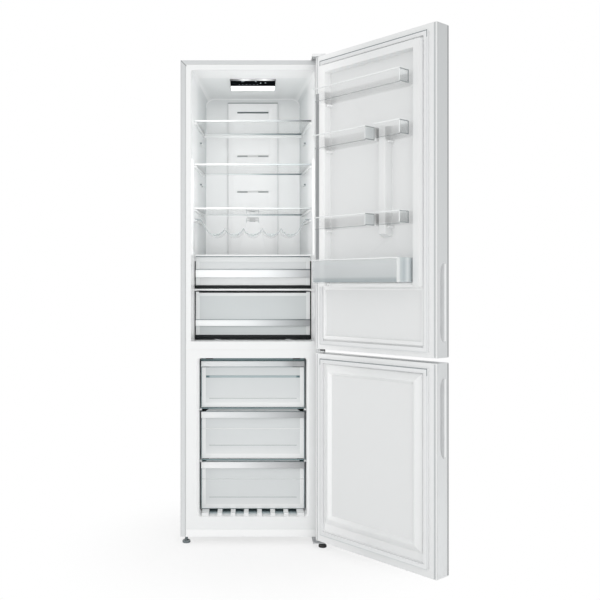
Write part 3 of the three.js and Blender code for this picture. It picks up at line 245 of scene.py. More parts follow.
looks = {
    # Casing paint that darkens towards the top: painted shade
    "casingPaintShade": look(("Z", (30, 0.74, 0.755, 0.76), (800, 0.665, 0.68, 0.685), (1988, 0.64, 0.655, 0.66)),
        0.36, 0.03, 0.06, coat=0.2, dust=0.05),
    "platePaint": look((0.97, 0.975, 0.975), 0.36),
    # Door paint that darkens towards the top: painted shade
    "doorPaintShade": look(("Z", (29, 0.76, 0.775, 0.78), (790, 0.62, 0.635, 0.64), (1988, 0.53, 0.545, 0.55)),
        0.32, metal=0.15, coat=0.2),
    "linerPlastic": look((0.88, 0.89, 0.89), 0.33, grain=900),
    # Door liner plastic lighter near the hinge and darker further out: painted light and shade
    "doorLinerShadedPlastic": look(("X", (285, 0.95, 0.955, 0.955), (350, 0.88, 0.885, 0.885),
        (440, 0.8, 0.81, 0.81), (645, 0.8, 0.81, 0.81)), grain=900),
    # A darker copy of the door liner plastic: painted shade on the flat panels, and a painted highlight line on
    # the door's edge
    "doorPanelShadeAndHighlight": look((0.79, 0.8, 0.8), grain=900),
    # Lighter tone inside the handle recesses: painted light
    "recessPaintedLight": look((0.72, 0.73, 0.735), 0.4),
    # Side walls darker towards the back: painted shade
    "wallShadedPlastic": look(("Y", (0, 0.94, 0.945, 0.945), (170, 0.92, 0.925, 0.925), (250, 0.8, 0.82, 0.82),
        (400, 0.74, 0.76, 0.765), (480, 0.7, 0.725, 0.73)), 0.33, grain=900),
    # Back wall darker towards its top: painted shade
    "backShadedPlastic": look(("Z", (832, 0.86, 0.87, 0.87), (1780, 0.89, 0.9, 0.9), (1890, 0.8, 0.815, 0.815),
        (1941, 0.68, 0.7, 0.705)), 0.33, grain=900),
    # Near white plastic put where shade would fall: painted light
    "paintedLightPlastic": look((0.97, 0.975, 0.975), 0.35, 0.02, 0.04),
    # Mid grey lines: joints on the doors, and painted shade along the casing's fold and outer edge
    "cornerLine": look((0.52, 0.54, 0.545), 0.45, 0.04),
    # Dark line along the door's front edge: painted shade
    "rimShadeLine": look((0.3, 0.31, 0.315), 0.45, 0.04),
    "dividerTrim": look((0.96, 0.965, 0.965), 0.3, 0.02, 0.03),
    # Near white on the recess ends and beside the recess on the door's edge: painted highlight
    "recessRimHighlight": look((0.95, 0.955, 0.955), 0.35, 0.02, 0.04),
    "ductPlastic": look((0.9, 0.905, 0.905), 0.42, 0.02, 0.08, grain=700),
    "clearPlastic": look((0.84, 0.87, 0.875), 0.12, 0.03, 0.03, alpha=0.2, ior=1.49),
    "clearRim": look((0.93, 0.95, 0.95), 0.15, 0.02, 0.02, alpha=0.85),
    "frostedBand": look((0.95, 0.96, 0.96), 0.25, 0.03, 0.04, alpha=0.94),
    "stepLine": look((0.62, 0.66, 0.665), 0.3, 0.03, 0.03, alpha=0.45),
    # Dark teal for the gaps round the drawers: painted shade
    "gapShadeTeal": look((0.2, 0.28, 0.295), 0.5, 0.06),
    "footShade": look((0.15, 0.18, 0.19), 0.5, 0.1, 0.1, dust=0.2),
    # Paler shade behind the lower slots: painted shade
    "slotPaleShade": look((0.4, 0.42, 0.425), 0.5, 0.05),
    # Darker clear plastic for the rack's front lip: painted shade
    "rackLipShade": look((0.5, 0.57, 0.58), 0.12, 0.04, 0.03, alpha=0.5),
    "shelfGlass": look((0.84, 0.88, 0.88), 0.05, 0.02, 0, alpha=0.14, ior=1.5),
    "whiteTrim": look((0.88, 0.89, 0.89), 0.25, 0.02, 0.03),
    "blackGlass": look((0.004, 0.005, 0.006), 0.35, 0.1, 0.01, shine=0),
    # Near black: real dark parts, and painted shade in the gaps round the crispers and behind the drawer ledges
    "darkTrimAndShade": look((0.01, 0.012, 0.013), 0.4, 0.1, shine=0.15),
    "lightLens": look((1, 1, 1), 0.35, 0.01, glow=1.6),
    # Ceiling lighter in front and darker behind a step at 125 mm: painted light and shade
    "ceilingShadedPlastic": look(("Y", (0, 0.93, 0.935, 0.935), (124, 0.9, 0.905, 0.905), (126, 0.84, 0.855, 0.855),
        (480, 0.84, 0.855, 0.855)), 0.36, 0.02),
    "nubShade": look((0.25, 0.28, 0.285), 0.5, 0.05),
    "lipTrim": look((0.93, 0.94, 0.94), 0.3, 0.02, 0.03, alpha=0.85),
    "sealShade": look((0.26, 0.29, 0.3), 0.7, 0.06, 0.1),
    "binPlastic": look((0.9, 0.92, 0.92), 0.12, 0.03, 0.03, alpha=0.03),
    "binEnd": look((0.8, 0.84, 0.85), 0.15, 0.05, 0.04, alpha=0.17),
    "wideEnd": look((0.7, 0.73, 0.735), 0.2, 0.05, 0.04),
    "endLine": look((0.27, 0.305, 0.31), 0.3, 0.05, 0.03, alpha=0.9),
    "footLine": look((0.48, 0.52, 0.53), 0.3, 0.05, 0.03, alpha=0.35),
    "bottleEnd": look(("X", (512, 0.88, 0.9, 0.9), (518, 0.62, 0.67, 0.68), (533, 0.5, 0.56, 0.58),
        (548, 0.76, 0.8, 0.81), (560, 0.6, 0.66, 0.68), (572, 0.7, 0.75, 0.76), (581, 0.36, 0.44, 0.46),
        (587, 0.34, 0.42, 0.44)), 0.15, 0.05, 0.04, alpha=0.85),
    "bottleSmoke": look(("Z", (1071, 0.46, 0.52, 0.54), (1086, 0.52, 0.575, 0.59), (1094, 0.72, 0.755, 0.765),
        (1162, 0.79, 0.82, 0.825)), 0.2, 0.04, 0.04, alpha=0.62),
    "flangeSeam": look((0.18, 0.19, 0.195), 0.5, 0.05),
    "slotShade": look((0.13, 0.155, 0.16), 0.55, 0.06),
    "softShade": look((0.5, 0.53, 0.535), 0.5, 0.05),
    "edgeShade": look((0.1, 0.13, 0.135), 0.5, 0.06),
    "gapShade": look((0.11, 0.155, 0.165), 0.5, 0.06),
    "stripShade": look((0.31, 0.32, 0.33), 0.4, 0.05),
    "channelShade": look(("Y", (32, 0.84, 0.85, 0.85), (46, 0.58, 0.63, 0.64), (60, 0.34, 0.41, 0.43),
        (80, 0.17, 0.23, 0.245), (200, 0.1, 0.14, 0.15)), 0.6, 0.05),
    # Dark teal band inside the upper drawer, darker at its ends: painted shade
    "innerGapShade": look(("X", (-197, 0.1, 0.17, 0.19), (-186, 0.14, 0.22, 0.24), (-180, 0.4, 0.48, 0.5),
        (180, 0.4, 0.48, 0.5), (186, 0.14, 0.22, 0.24), (197, 0.1, 0.17, 0.19)), 0.3, 0.04, 0.03),
    "barShade": look(("X", (-214, 0.03, 0.045, 0.05), (-186, 0.06, 0.08, 0.085), (-176, 0.34, 0.4, 0.42),
        (160, 0.34, 0.4, 0.42), (172, 0.05, 0.065, 0.07), (214, 0.03, 0.04, 0.045)), 0.4, 0.04, 0.03),
    "faintTrim": look((0.92, 0.93, 0.93), 0.3, 0.02, 0.03, alpha=0.5),
    # Dark teal on the sides of the drawer fronts: painted shade
    "drawerSideShade": look((0.34, 0.42, 0.44), 0.3, 0.04, 0.03, alpha=0.9),
    # Light and dark bands across the control trim: painted reflection
    "controlChromeReflection": look(("X", (-98, 0.08, 0.08, 0.085), (-62, 0.3, 0.31, 0.32), (-40, 0.95, 0.96, 0.97),
        (-22, 0.9, 0.91, 0.92), (-5, 0.45, 0.46, 0.47), (22, 0.5, 0.51, 0.52), (48, 0.95, 0.95, 0.95),
        (75, 0.6, 0.61, 0.62), (98, 0.1, 0.1, 0.11)), 0.18, 0.03, 0.02, metal=0.4),
    # Shelf front and rear trims light at the left and dark at the right: painted reflection
    "upperFrontTrim": look(("X", (-247, 0.93, 0.94, 0.94), (-120, 0.86, 0.87, 0.87), (-50, 0.66, 0.68, 0.68),
        (90, 0.54, 0.57, 0.58), (170, 0.28, 0.3, 0.31), (247, 0.11, 0.12, 0.12)), 0.2, 0.02, 0.02),
    "middleFrontTrim": look(("X", (-247, 0.95, 0.96, 0.96), (-100, 0.92, 0.93, 0.93), (-55, 0.68, 0.7, 0.71),
        (90, 0.55, 0.59, 0.6), (247, 0.48, 0.52, 0.53)), 0.2, 0.02, 0.02),
    "lowerFrontTrim": look(("X", (-247, 0.97, 0.97, 0.97), (-60, 0.92, 0.92, 0.92), (-15, 0.68, 0.7, 0.7),
        (247, 0.56, 0.59, 0.59)), 0.2, 0.02, 0.02),
    "rearTrimReflection": look(("X", (-230, 0.93, 0.95, 0.95), (-20, 0.7, 0.74, 0.75), (60, 0.35, 0.42, 0.44),
        (230, 0.04, 0.08, 0.09)), 0.2, 0.02, 0.02),
    # Dark line, darker to the right, under the crisper cover and over the crisper bars: painted shade
    "coverShadeLine": look(("X", (-247, 0.28, 0.33, 0.34), (80, 0.3, 0.35, 0.36), (247, 0.06, 0.09, 0.1)), 0.35,
        0.03, 0.03),
    # Grip bars light at the left and dark at the right: painted reflection
    "upperCrisperBar": look(("X", (-247, 0.95, 0.96, 0.96), (60, 0.85, 0.87, 0.88), (150, 0.66, 0.68, 0.69),
        (247, 0.4, 0.41, 0.42)), brushed=30),
    "lowerCrisperBar": look(("X", (-247, 0.95, 0.96, 0.96), (0, 0.78, 0.8, 0.81), (140, 0.45, 0.47, 0.48),
        (247, 0.27, 0.28, 0.29)), brushed=30),
    "upperDrawerBar": look(("X", (-220, 0.92, 0.93, 0.93), (0, 0.82, 0.84, 0.85), (120, 0.7, 0.72, 0.73),
        (170, 0.42, 0.43, 0.44), (220, 0.48, 0.49, 0.5)), brushed=30),
    "middleDrawerBar": look(("X", (-220, 0.94, 0.95, 0.95), (-100, 0.8, 0.82, 0.83), (60, 0.62, 0.64, 0.65),
        (220, 0.34, 0.35, 0.36)), brushed=30),
    "lowerDrawerBar": look(("X", (-220, 0.97, 0.97, 0.97), (-60, 0.85, 0.86, 0.87), (70, 0.6, 0.61, 0.62),
        (220, 0.36, 0.37, 0.38)), brushed=30),
    "clearSide": look((0.86, 0.89, 0.895), 0.12, 0.02, 0.02, alpha=0.02),
    "rackPlastic": look((0.8, 0.83, 0.835), 0.12, 0.04, 0.03, alpha=0.1),
    # Upper crisper panel darker towards its top: painted shade
    "clearPanelShadedTop": look(("Z", (1063, 0.92, 0.93, 0.93), (1097, 0.87, 0.885, 0.89), (1150, 0.82, 0.845, 0.85),
        (1183, 0.74, 0.78, 0.785)), 0.15, 0.03, 0.03, alpha=0.6),
    "crisperPanel": look((0.66, 0.695, 0.7), 0.25, 0.04, 0.04, alpha=0.75),
    "crisperBand": look((0.9, 0.92, 0.92), 0.2, 0.03, 0.03, alpha=0.7),
    "basketPlastic": look((0.72, 0.75, 0.755), 0.2, 0.04, 0.04, alpha=0.3),
    "ledgePlastic": look((0.9, 0.92, 0.925), 0.3, 0.04, 0.04),
    "sideLens": look((1, 1, 1), 0.35, 0.01, glow=0.3),
    "markLight": look((0.85, 0.95, 1), 0.4, 0.01, 0, glow=0.5),
    "sealRubber": look((0.8, 0.81, 0.815), 0.65, 0.06, 0.12),
    # Darker rubber along the gasket's outer edge: painted shade
    "sealFoldShade": look((0.7, 0.72, 0.725), 0.7, 0.08, 0.12),
    "zincSteel": look((0.52, 0.53, 0.54), 0.38, 0.08, 0.1, metal=0.9, peel=200),
    "blackPaint": look((0.02, 0.021, 0.022), 0.42, 0.12, 0.1, dust=0.3),
    "darkRubber": look((0.028, 0.028, 0.03), 0.75, 0.15, 0.2, dust=0.15),
    "foamBlock": look((0.78, 0.7, 0.42), 0.9, 0.12, 0.4, grain=300),
    "bareAluminium": look((0.7, 0.71, 0.72), 0.32, 0.05, 0.1, metal=0.95, brushed=60),
}
finishes = {name: plainFinish(name, values) for name, values in looks.items()}
print("finishes made")


# ---- modelling helpers ----
square = 0.9  # how much of a face's normal has to lie along an axis for it to look that way


def around(middle, half):
    return middle - half, middle + half


def between(value, low, high):
    return low < value < high


def deselectAll():
    if bpy.context.object and bpy.context.object.mode != "OBJECT":
        bpy.ops.object.mode_set(mode="OBJECT")
    bpy.ops.object.select_all(action="DESELECT")


def makeActive(piece):
    deselectAll()
    piece.select_set(True)
    bpy.context.view_layer.objects.active = piece


def settle(piece):
    makeActive(piece)
    bpy.ops.object.transform_apply(location=True, rotation=True, scale=True)


def addBlock(name, x, y, z):
    deselectAll()
    low, high = (atPlace(*map(end, (x, y, z))) for end in (min, max))
    bpy.ops.mesh.primitive_cube_add(size=1, location=(low + high) / 2)
    piece = bpy.context.object
    piece.scale = high - low
    piece.name = name
    settle(piece)
    return piece


# Goes into edit mode with the faces, edges or corners chosen that the test takes
def choose(piece, test, kind="FACE"):
    makeActive(piece)
    bpy.ops.object.mode_set(mode="EDIT")
    bpy.ops.mesh.select_mode(type=kind)
    bpy.ops.mesh.select_all(action="DESELECT")
    mesh = bmesh.from_edit_mesh(piece.data)
    mesh.normal_update()
    for item in {"FACE": mesh.faces, "VERT": mesh.verts, "EDGE": mesh.edges}[kind]:
        if kind == "EDGE":
            first, second = (vert.co for vert in item.verts)
            spot, way = (first + second) / 2, (second - first).normalized()
        else:
            spot, way = item.co if kind == "VERT" else item.calc_center_median(), item.normal
        if test(inCabinet(spot), way):
            item.select_set(True)
    bmesh.update_edit_mesh(piece.data)


def leaveEdit():
    bpy.ops.object.mode_set(mode="OBJECT")


def insetBy(amount, depth=0):
    bpy.ops.mesh.inset(thickness=amount / 1000, depth=depth / 1000, use_even_offset=True)


def insetFaces(piece, test, *steps):
    choose(piece, test)
    for step in steps:
        insetBy(*step)
    leaveEdit()


def looksOut(at, way):
    return way.y < -square


def extrudeBy(x, y, z):
    bpy.ops.mesh.extrude_region_move(TRANSFORM_OT_translate={"value": (x / 1000, y / 1000, z / 1000)})


def moveBy(x, y, z):
    bpy.ops.transform.translate(value=(x / 1000, y / 1000, z / 1000))


def shiftPart(piece, test, x, y, z, kind="VERT"):
    choose(piece, test, kind)
    moveBy(x, y, z)
    leaveEdit()


def bevelChosen(width, segments=3):
    bpy.ops.mesh.bevel(offset=width / 1000, segments=segments, affect="EDGES")


def cutAcross(piece, spot, normal, **more):
    choose(piece, lambda at, way: True)
    bpy.ops.mesh.bisect(plane_co=atPlace(*spot), plane_no=normal, **more)
    leaveEdit()


def softenEdges(piece, width, segments=2, angle=35):
    makeActive(piece)
    bevel = piece.modifiers.new("softEdges", "BEVEL")
    bevel.width = width / 1000
    bevel.segments = segments
    bevel.limit_method = "ANGLE"
    bevel.angle_limit = math.radians(angle)
    bpy.ops.object.modifier_apply(modifier=bevel.name)


# A copy of a CAD node, its loose triangles joined and, if wanted, its flat faces made whole
def copyNode(node, name, whole=True):
    piece = bpy.data.objects.new(name, nodes[node].data.copy())
    bpy.context.scene.collection.objects.link(piece)
    piece.data.materials.clear()
    makeActive(piece)
    bpy.ops.object.mode_set(mode="EDIT")
    bpy.ops.mesh.select_all(action="SELECT")
    bpy.ops.mesh.customdata_custom_splitnormals_clear()
    bpy.ops.mesh.remove_doubles(threshold=0.00001)
    if whole:
        bpy.ops.mesh.dissolve_limited(angle_limit=math.radians(1))
    leaveEdit()
    return piece


# Rounds the sharp edges that are longer than a length
def softenLong(piece, width, longest, sharp=0.5):
    choose(piece, lambda at, way: False, "EDGE")
    mesh = bmesh.from_edit_mesh(piece.data)
    for edge in mesh.edges:
        if len(edge.link_faces) == 2 and edge.calc_face_angle() > sharp and edge.calc_length() > longest / 1000:
            edge.select_set(True)
    bmesh.update_edit_mesh(piece.data)
    bevelChosen(width)
    leaveEdit()


hinge = {"x": 283.3, "y": -35.3, "open": 130.5}


# Turns a piece that is drawn with its door closed to the photograph's open place
def hangOpen(piece):
    makeActive(piece)
    centre = atPlace(hinge["x"], hinge["y"], 0)
    bpy.ops.transform.rotate(value=-math.radians(hinge["open"]), orient_axis="Z", center_override=centre)
    settle(piece)


def finishPiece(piece, body, finish, replaced=(), angle=35):
    makeActive(piece)
    bpy.ops.object.shade_smooth_by_angle(angle=math.radians(angle))
    if not piece.data.materials:
        piece.data.materials.append(finishes[finish])
    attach(piece, body)
    if replaced:
        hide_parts(*replaced)
    return piece


# Gives the faces that the test takes a second finish
def tintFaces(piece, finish, test):
    piece.data.materials.append(finishes[finish])
    index = len(piece.data.materials) - 1
    for face in piece.data.polygons:
        if test(inCabinet(face.center), face.normal):
            face.material_index = index


def dressCopy(node, name, width, body, finish, segments=2, angle=35):
    piece = copyNode(node, name)
    softenEdges(piece, width, segments, angle)
    return finishPiece(piece, body, finish, (node,), angle)


def mixedBlock(name, x, y, z, edge, body, finish, segments=2):
    piece = addBlock(name, x, y, z)
    softenEdges(piece, edge, segments)
    return finishPiece(piece, body, finish)


# Finishes a piece of a door, which is drawn with the door closed
def finishOpen(piece, body, finish, replaced=()):
    hangOpen(piece)
    return finishPiece(piece, body, finish, replaced)


# ---- cabinet shell ----
shell = {"edge": 1.2, "backCorner": 9, "back": 479.5, "mouth": 256, "ceiling": 1935, "nubs": (285, 295)}
dressCopy("outer_casing", "outercasingShell", shell["edge"], "cabinet", "casingPaintShade")
fridge = copyNode("fridge_liner", "fridgeCavity")
choose(fridge, lambda at, way: at.y > shell["back"] and at.z > 1000, "EDGE")
bevelChosen(shell["backCorner"], 4)
leaveEdit()
finishPiece(fridge, "cabinet", "linerPlastic", ("fridge_liner",), 40)
# Walls, back wall and ceiling take shaded copies of the liner plastic: painted shade
tintFaces(fridge, "wallShadedPlastic", lambda at, way: abs(way.x) > 0.7 and at.y > 2
          and abs(at.x) < shell["mouth"])
tintFaces(fridge, "backShadedPlastic", lambda at, way: way.y < -square and at.y > 400)
tintFaces(fridge, "ceilingShadedPlastic", lambda at, way: way.z < -square and at.z > shell["ceiling"])
tintFaces(fridge, "nubShade", lambda at, way: way.y < -square and between(at.y, *shell["nubs"]))

# The freezer's walls are drawn in behind their front edge and run straight back from there
freezer = copyNode("freezer_liner", "freezerCavity")
flare = {"depth": 9, "rear": 450, "shift": 8.2, "wall": 216}
cutAcross(freezer, (0, flare["depth"], 0), (0, 1, 0))
for depth in sorted({round(inCabinet(vert.co).y) for vert in freezer.data.vertices}):
    if between(depth, 0, flare["rear"]):
        share = min(depth / flare["depth"], (flare["rear"] - depth) / (flare["rear"] - flare["depth"]))
        for side in (-1, 1):
            shiftPart(freezer, lambda at, way: round(at.y) == depth and at.x * side > flare["wall"],
                      -side * flare["shift"] * share, 0, 0)
finishPiece(freezer, "cabinet", "linerPlastic", ("freezer_liner",), 40)
# The freezer's flared side faces are made near white: painted light
tintFaces(freezer, "paintedLightPlastic", lambda at, way: between(at.y, 0.2, 30) and abs(at.x) < 236
          and abs(way.y) < square)
dressCopy("air_duct_cover", "airductcoverShell", shell["edge"], "cabinet", "ductPlastic")

# The joint of the folded flanges at both upper corners, and dark lines of painted shade down both sides at the
# fold and the outer edge
flange = {"joint": 284.5, "half": 16, "height": 1975, "lines": {"Fold": (279, 2.2), "Edge": (296.6, 1.4)}}
for side in (-1, 1):
    middle = side * flange["joint"]
    seam = addBlock(f"flangeSeam{side + 2}", around(middle, flange["half"]), (-0.4, 0.3), (1974, 1976.2))
    makeActive(seam)
    bpy.ops.transform.rotate(value=side * math.pi / 4, orient_axis="Y",
                             center_override=atPlace(middle, 0, flange["height"]))
    settle(seam)
    finishPiece(seam, "cabinet", "flangeSeam")
    for label, (outer, wide) in flange["lines"].items():
        mixedBlock(f"flange{label}{side + 2}", (side * outer, side * (outer - wide)), (-0.3, 0.2), (34, 1966),
                   0.1, "cabinet", "cornerLine", 1)
print("cabinet shell done")


# A line or inset of the two cavities
def linerBlock(name, x, y, z, edge, finish):
    mixedBlock(name, x, y, z, edge, "cabinet", finish)


# Fine joint round the duct cover, and painted shade in its slots and vents: dark insets behind them
duct = {"joint": 116.6, "face": 471.7, "deep": 475,
        "slots": [(-73, 73, 1874), (-75, -25, 1669), (25, 75, 1669), (-75, -25, 1502), (25, 75, 1502)],
        "bars": [1374, 1363.6, 1418, 1408], "brackets": [(-30, 1368), (27, 1368), (-30, 1413), (27, 1413)]}
for side in (-1, 1):
    linerBlock(f"ductJoint{side + 2}", around(side * duct["joint"], 0.6), (471.5, 473), (1180, 1917), 0.2,
               "softShade")
linerBlock("ductJointTop", (-117, 117), (470.8, 473), (1916.6, 1919.4), 0.3, "edgeShade")
for index, (left, right, height) in enumerate(duct["slots"]):
    linerBlock(f"ductSlotShade{index}", (left, right), (duct["face"] + 0.5, duct["deep"]), around(height, 3), 0.6,
               "slotShade" if index == 0 else "slotPaleShade")
for index, height in enumerate(duct["bars"]):
    linerBlock(f"ventBar{index}", (-16.4, 12.2), (duct["face"], duct["deep"]), around(height, 2), 0.8,
               "slotShade")
for index, (spot, height) in enumerate(duct["brackets"]):
    linerBlock(f"ventBracket{index}", around(spot, 1.2), around(duct["face"], 0.6), around(height, 10), 0.4,
               "softShade")

# ---- control unit under the ceiling ----
control = {"half": 98.5, "face": 130, "middle": 1940, "split": 203.5, "run": 76.2, "bottom": 1931.4,
           "rise": 3.8}
marks = [(across, 179, 2, 2) for across in (-58.9, -43.3, -28.6, -12.1, 4.3, 19.9)]
marks += [(33.1, 158, 3, 6), (53.7, 155, 3, 4), (-42, 136, 12, 1.4), (12, 136, 6, 1.4)]
case = addBlock("controlCase", around(0, control["half"]), (125, 290), (1933.2, 1943.4))
shiftPart(case, lambda at, way: at.y < control["face"] and at.z < control["middle"], 0, 0, control["rise"])
shiftPart(case, lambda at, way: at.y < control["face"] and at.z > control["middle"], 0, 0, 2.5)
softenEdges(case, 1.6, 3)
finishPiece(case, "cabinet", "whiteTrim", ("control_housing",))
mixedBlock("controlTrim", around(0, control["half"]), (122.5, 127), (1935.3, 1942), 1.2, "cabinet",
           "controlChromeReflection", 3)
display = addBlock("controlPanel", (-97, 97), (127.3, control["split"]),
                   (control["bottom"], control["bottom"] + 2.2))
shiftPart(display, lambda at, way: at.y < control["face"], 0, 0, control["rise"])
softenEdges(display, 0.6)
finishPiece(display, "cabinet", "blackGlass", ("control_display",))
lens = addBlock("ceilingLens", (-95, 95), (204.2, 283), (1931.3, 1933.8))
softenEdges(lens, 1)
finishPiece(lens, "cabinet", "lightLens", ("ceiling_light_lens",))
for index, (across, deep, wide, long) in enumerate(marks):
    level = control["bottom"] + control["rise"] * (control["split"] - deep) / control["run"]
    mixedBlock(f"panelMark{index}", around(across, wide / 2), around(deep, long / 2),
               (level - 0.5, level + 0.3), 0.15, "cabinet", "markLight")
for side in ("left", "right"):
    dressCopy(f"side_light_{side}", f"{side}SideLight", 0.6, "cabinet", "sideLens")
print("control unit and lights done")

# ---- shelves ----
cavity = {"half": 254.4, "draft": 31, "deep": 480}


def wallAt(y):  # half the fridge's width at a depth
    return cavity["half"] - cavity["draft"] * y / cavity["deep"]


shelves = {"upper": 1755, "middle": 1570.8, "lower": 1384.4}
trim = {"frontDeep": (97.6, 101.5), "rearDeep": (388, 392.5), "lipDeep": (392.6, 396)}
frontHalf = wallAt(100) - 1.2
rearHalf = wallAt(392) - 0.5
for name, height in shelves.items():
    body = f"{name}_shelf"
    dressCopy(f"{name}_shelf_frame", f"{name}ShelfRing", 0.8, body, "clearSide")
    mixedBlock(f"{name}ShelfFrontTrim", around(0, frontHalf), trim["frontDeep"], (height + 1, height + 7.6),
               1.2, body, f"{name}FrontTrim", 3)
    mixedBlock(f"{name}ShelfRearTrim", around(0, rearHalf), trim["rearDeep"], (height - 0.5, height + 5), 1.2,
               body, "rearTrimReflection", 3)
    if name == "upper":
        mixedBlock("upperShelfRearLip", around(0, rearHalf - 1), trim["lipDeep"], (height - 14, height + 1),
                   1, body, "lipTrim")

# The bottle rack, its front lip as a piece of its own in a darker tone of painted shade
rack = {"lipRear": 150, "angle": 50}
dressCopy("bottle_rack", "scallopRack", 0.7, "rack", "rackPlastic", angle=rack["angle"])
lip = copyNode("bottle_rack", "rackFrontLip")
cutAcross(lip, (0, rack["lipRear"], 0), (0, 1, 0), clear_outer=True, use_fill=True)
finishPiece(lip, "rack", "rackLipShade", (), rack["angle"])
mixedBlock("coverFrontTrim", around(0, frontHalf), (97.6, 101), (1187.3, 1193), 1, "cabinet", "whiteTrim")
# A dark line between the crisper and the cover trim: painted shade
mixedBlock("coverGapShade", around(0, frontHalf - 4), (103, 106), (1183.6, 1187), 0.8, "cabinet", "coverShadeLine")
dressCopy("crisper_divider", "crisperDivider", 1, "cabinet", "whiteTrim")
mixedBlock("dividerFront", (-247.6, 247.6), (97, 101.5), (1041.6, 1046.8), 1, "cabinet", "dividerTrim")
print("shelves done")

grip = {"deep": 8, "frame": 2.2, "step": 1.2, "channel": 0.8, "wall": 1.6, "hollow": 0.6}


# A bar for the fingers, its face channelled and its underside hollowed
def addGripBar(name, half, back, low, high, body, replaced):
    bar = addBlock(name, (-half, half), (back - grip["deep"], back), (low, high))
    insetFaces(bar, looksOut, (grip["frame"],), (grip["step"], -grip["channel"]))
    choose(bar, lambda at, way: way.z < -square)
    insetBy(grip["wall"])
    extrudeBy(0, 0, (high - low) * grip["hollow"])
    leaveEdit()
    softenEdges(bar, 0.7)
    return finishPiece(bar, body, name, (replaced,))


# ---- crispers ----
crispers = {
    "upper": {"floor": 1047.3, "top": 1183, "bar": (1097, 1129), "base": (1050, 1063.5), "edge": 1166,
              "panel": "clearPanelShadedTop"},
    "lower": {"floor": 837, "top": 1038.8, "bar": (891, 916), "base": (835.6, 853), "edge": 1038.8,
              "panel": "crisperPanel"},
}
faceAt = {"front": 110.9, "rear": 111.9, "line": 110.8, "band": 19}
half = wallAt(112) - 1.4
for name, crisper in crispers.items():
    body = f"{name}_crisper"
    dressCopy(f"{name}_crisper_tub", f"{name}CrisperTub", 1, body, "clearPlastic")
    front = addBlock(f"{name}CrisperFront", (-half, half), (faceAt["front"], faceAt["rear"]),
                     (crisper["floor"] + 1, crisper["top"]))
    insetFaces(front, looksOut, (faceAt["band"],), (0.8, -0.5))
    softenEdges(front, 0.3, 1)
    finishPiece(front, body, "crisperBand")
    tintFaces(front, crisper["panel"], lambda at, way: abs(at.x) < half - faceAt["band"] - 0.5
              and way.y < -square and at.z < crisper["top"] - 15)
    (low, high), barTop = crisper["base"], crisper["bar"][1]
    addGripBar(f"{name}CrisperBar", half - 3, 111.7, *crisper["bar"], body, f"{name}_crisper_handle")
    # Dark strips at the foot and sides of each crisper front and a dark line over its bar: painted shade in the
    # gaps
    mixedBlock(f"{name}CrisperBase", around(0, half + 1.2), (105.5, faceAt["line"]), (low, high), 1, body,
               "darkTrimAndShade")
    mixedBlock(f"{name}BarLine", around(0, half - 2), (109.4, faceAt["line"]), (barTop + 0.5, barTop + 3),
               0.5, body, "coverShadeLine")
    for side in (-1, 1):
        mixedBlock(f"{name}CrisperEdge{side + 2}", (side * (half + 1.4), side * (half - 3.4)),
                   (109.2, faceAt["line"]), (high, crisper["edge"]), 0.6, body, "darkTrimAndShade")
# Dark strips along the top of the lower crisper: painted shade in the gap under the divider
mixedBlock("lowerCrisperRimShade", (-246.4, 246.4), (109, faceAt["line"]), (1036.6, 1038.8), 0.6,
           "lower_crisper", "darkTrimAndShade")
mixedBlock("lowerCrisperLidShade", (-228, 226), (108.8, faceAt["line"]), (1031.5, 1038.6), 0.8,
           "lower_crisper", "darkTrimAndShade")
print("crispers done")

# ---- freezer drawers ----
drawers = {
    "upper": {"floor": 551, "top": 744.4, "bar": 22.4, "rear": 385,
              "lines": [("InnerGapShade", 197, 675, 684, "innerGapShade"), ("BarShade", 214, 718.6, 721.2, "barShade"),
                        ("Step", 184, 586.8, 588.8, "stepLine")]},
    "middle": {"floor": 335, "top": 532, "bar": 25.7, "rear": 385,
               "lines": [("Rib", 214.5, 458.8, 461.8, "whiteTrim"), ("Step", 184, 389.4, 391.4, "stepLine")]},
    "lower": {"floor": 123, "top": 321.4, "bar": 26.5, "rear": 335,
              "lines": [("Rib", 214.5, 247.6, 249.8, "faintTrim"), ("Step", 184, 171.3, 173.3, "stepLine"),
                        ("FootShade", 215, 121.6, 125.2, "gapShade")]},
}
panel = {"half": 217.5, "deep": (80, 82.5), "frame": 3, "band": 15, "step": 1.2, "field": 199.6, "side": 214.4}
basin = {"half": 214, "front": 82.6, "low": 14, "wall": 2.5}
slope = {"half": 205, "rearHalf": 184, "deep": (82.6, 103), "rise": 13.5}
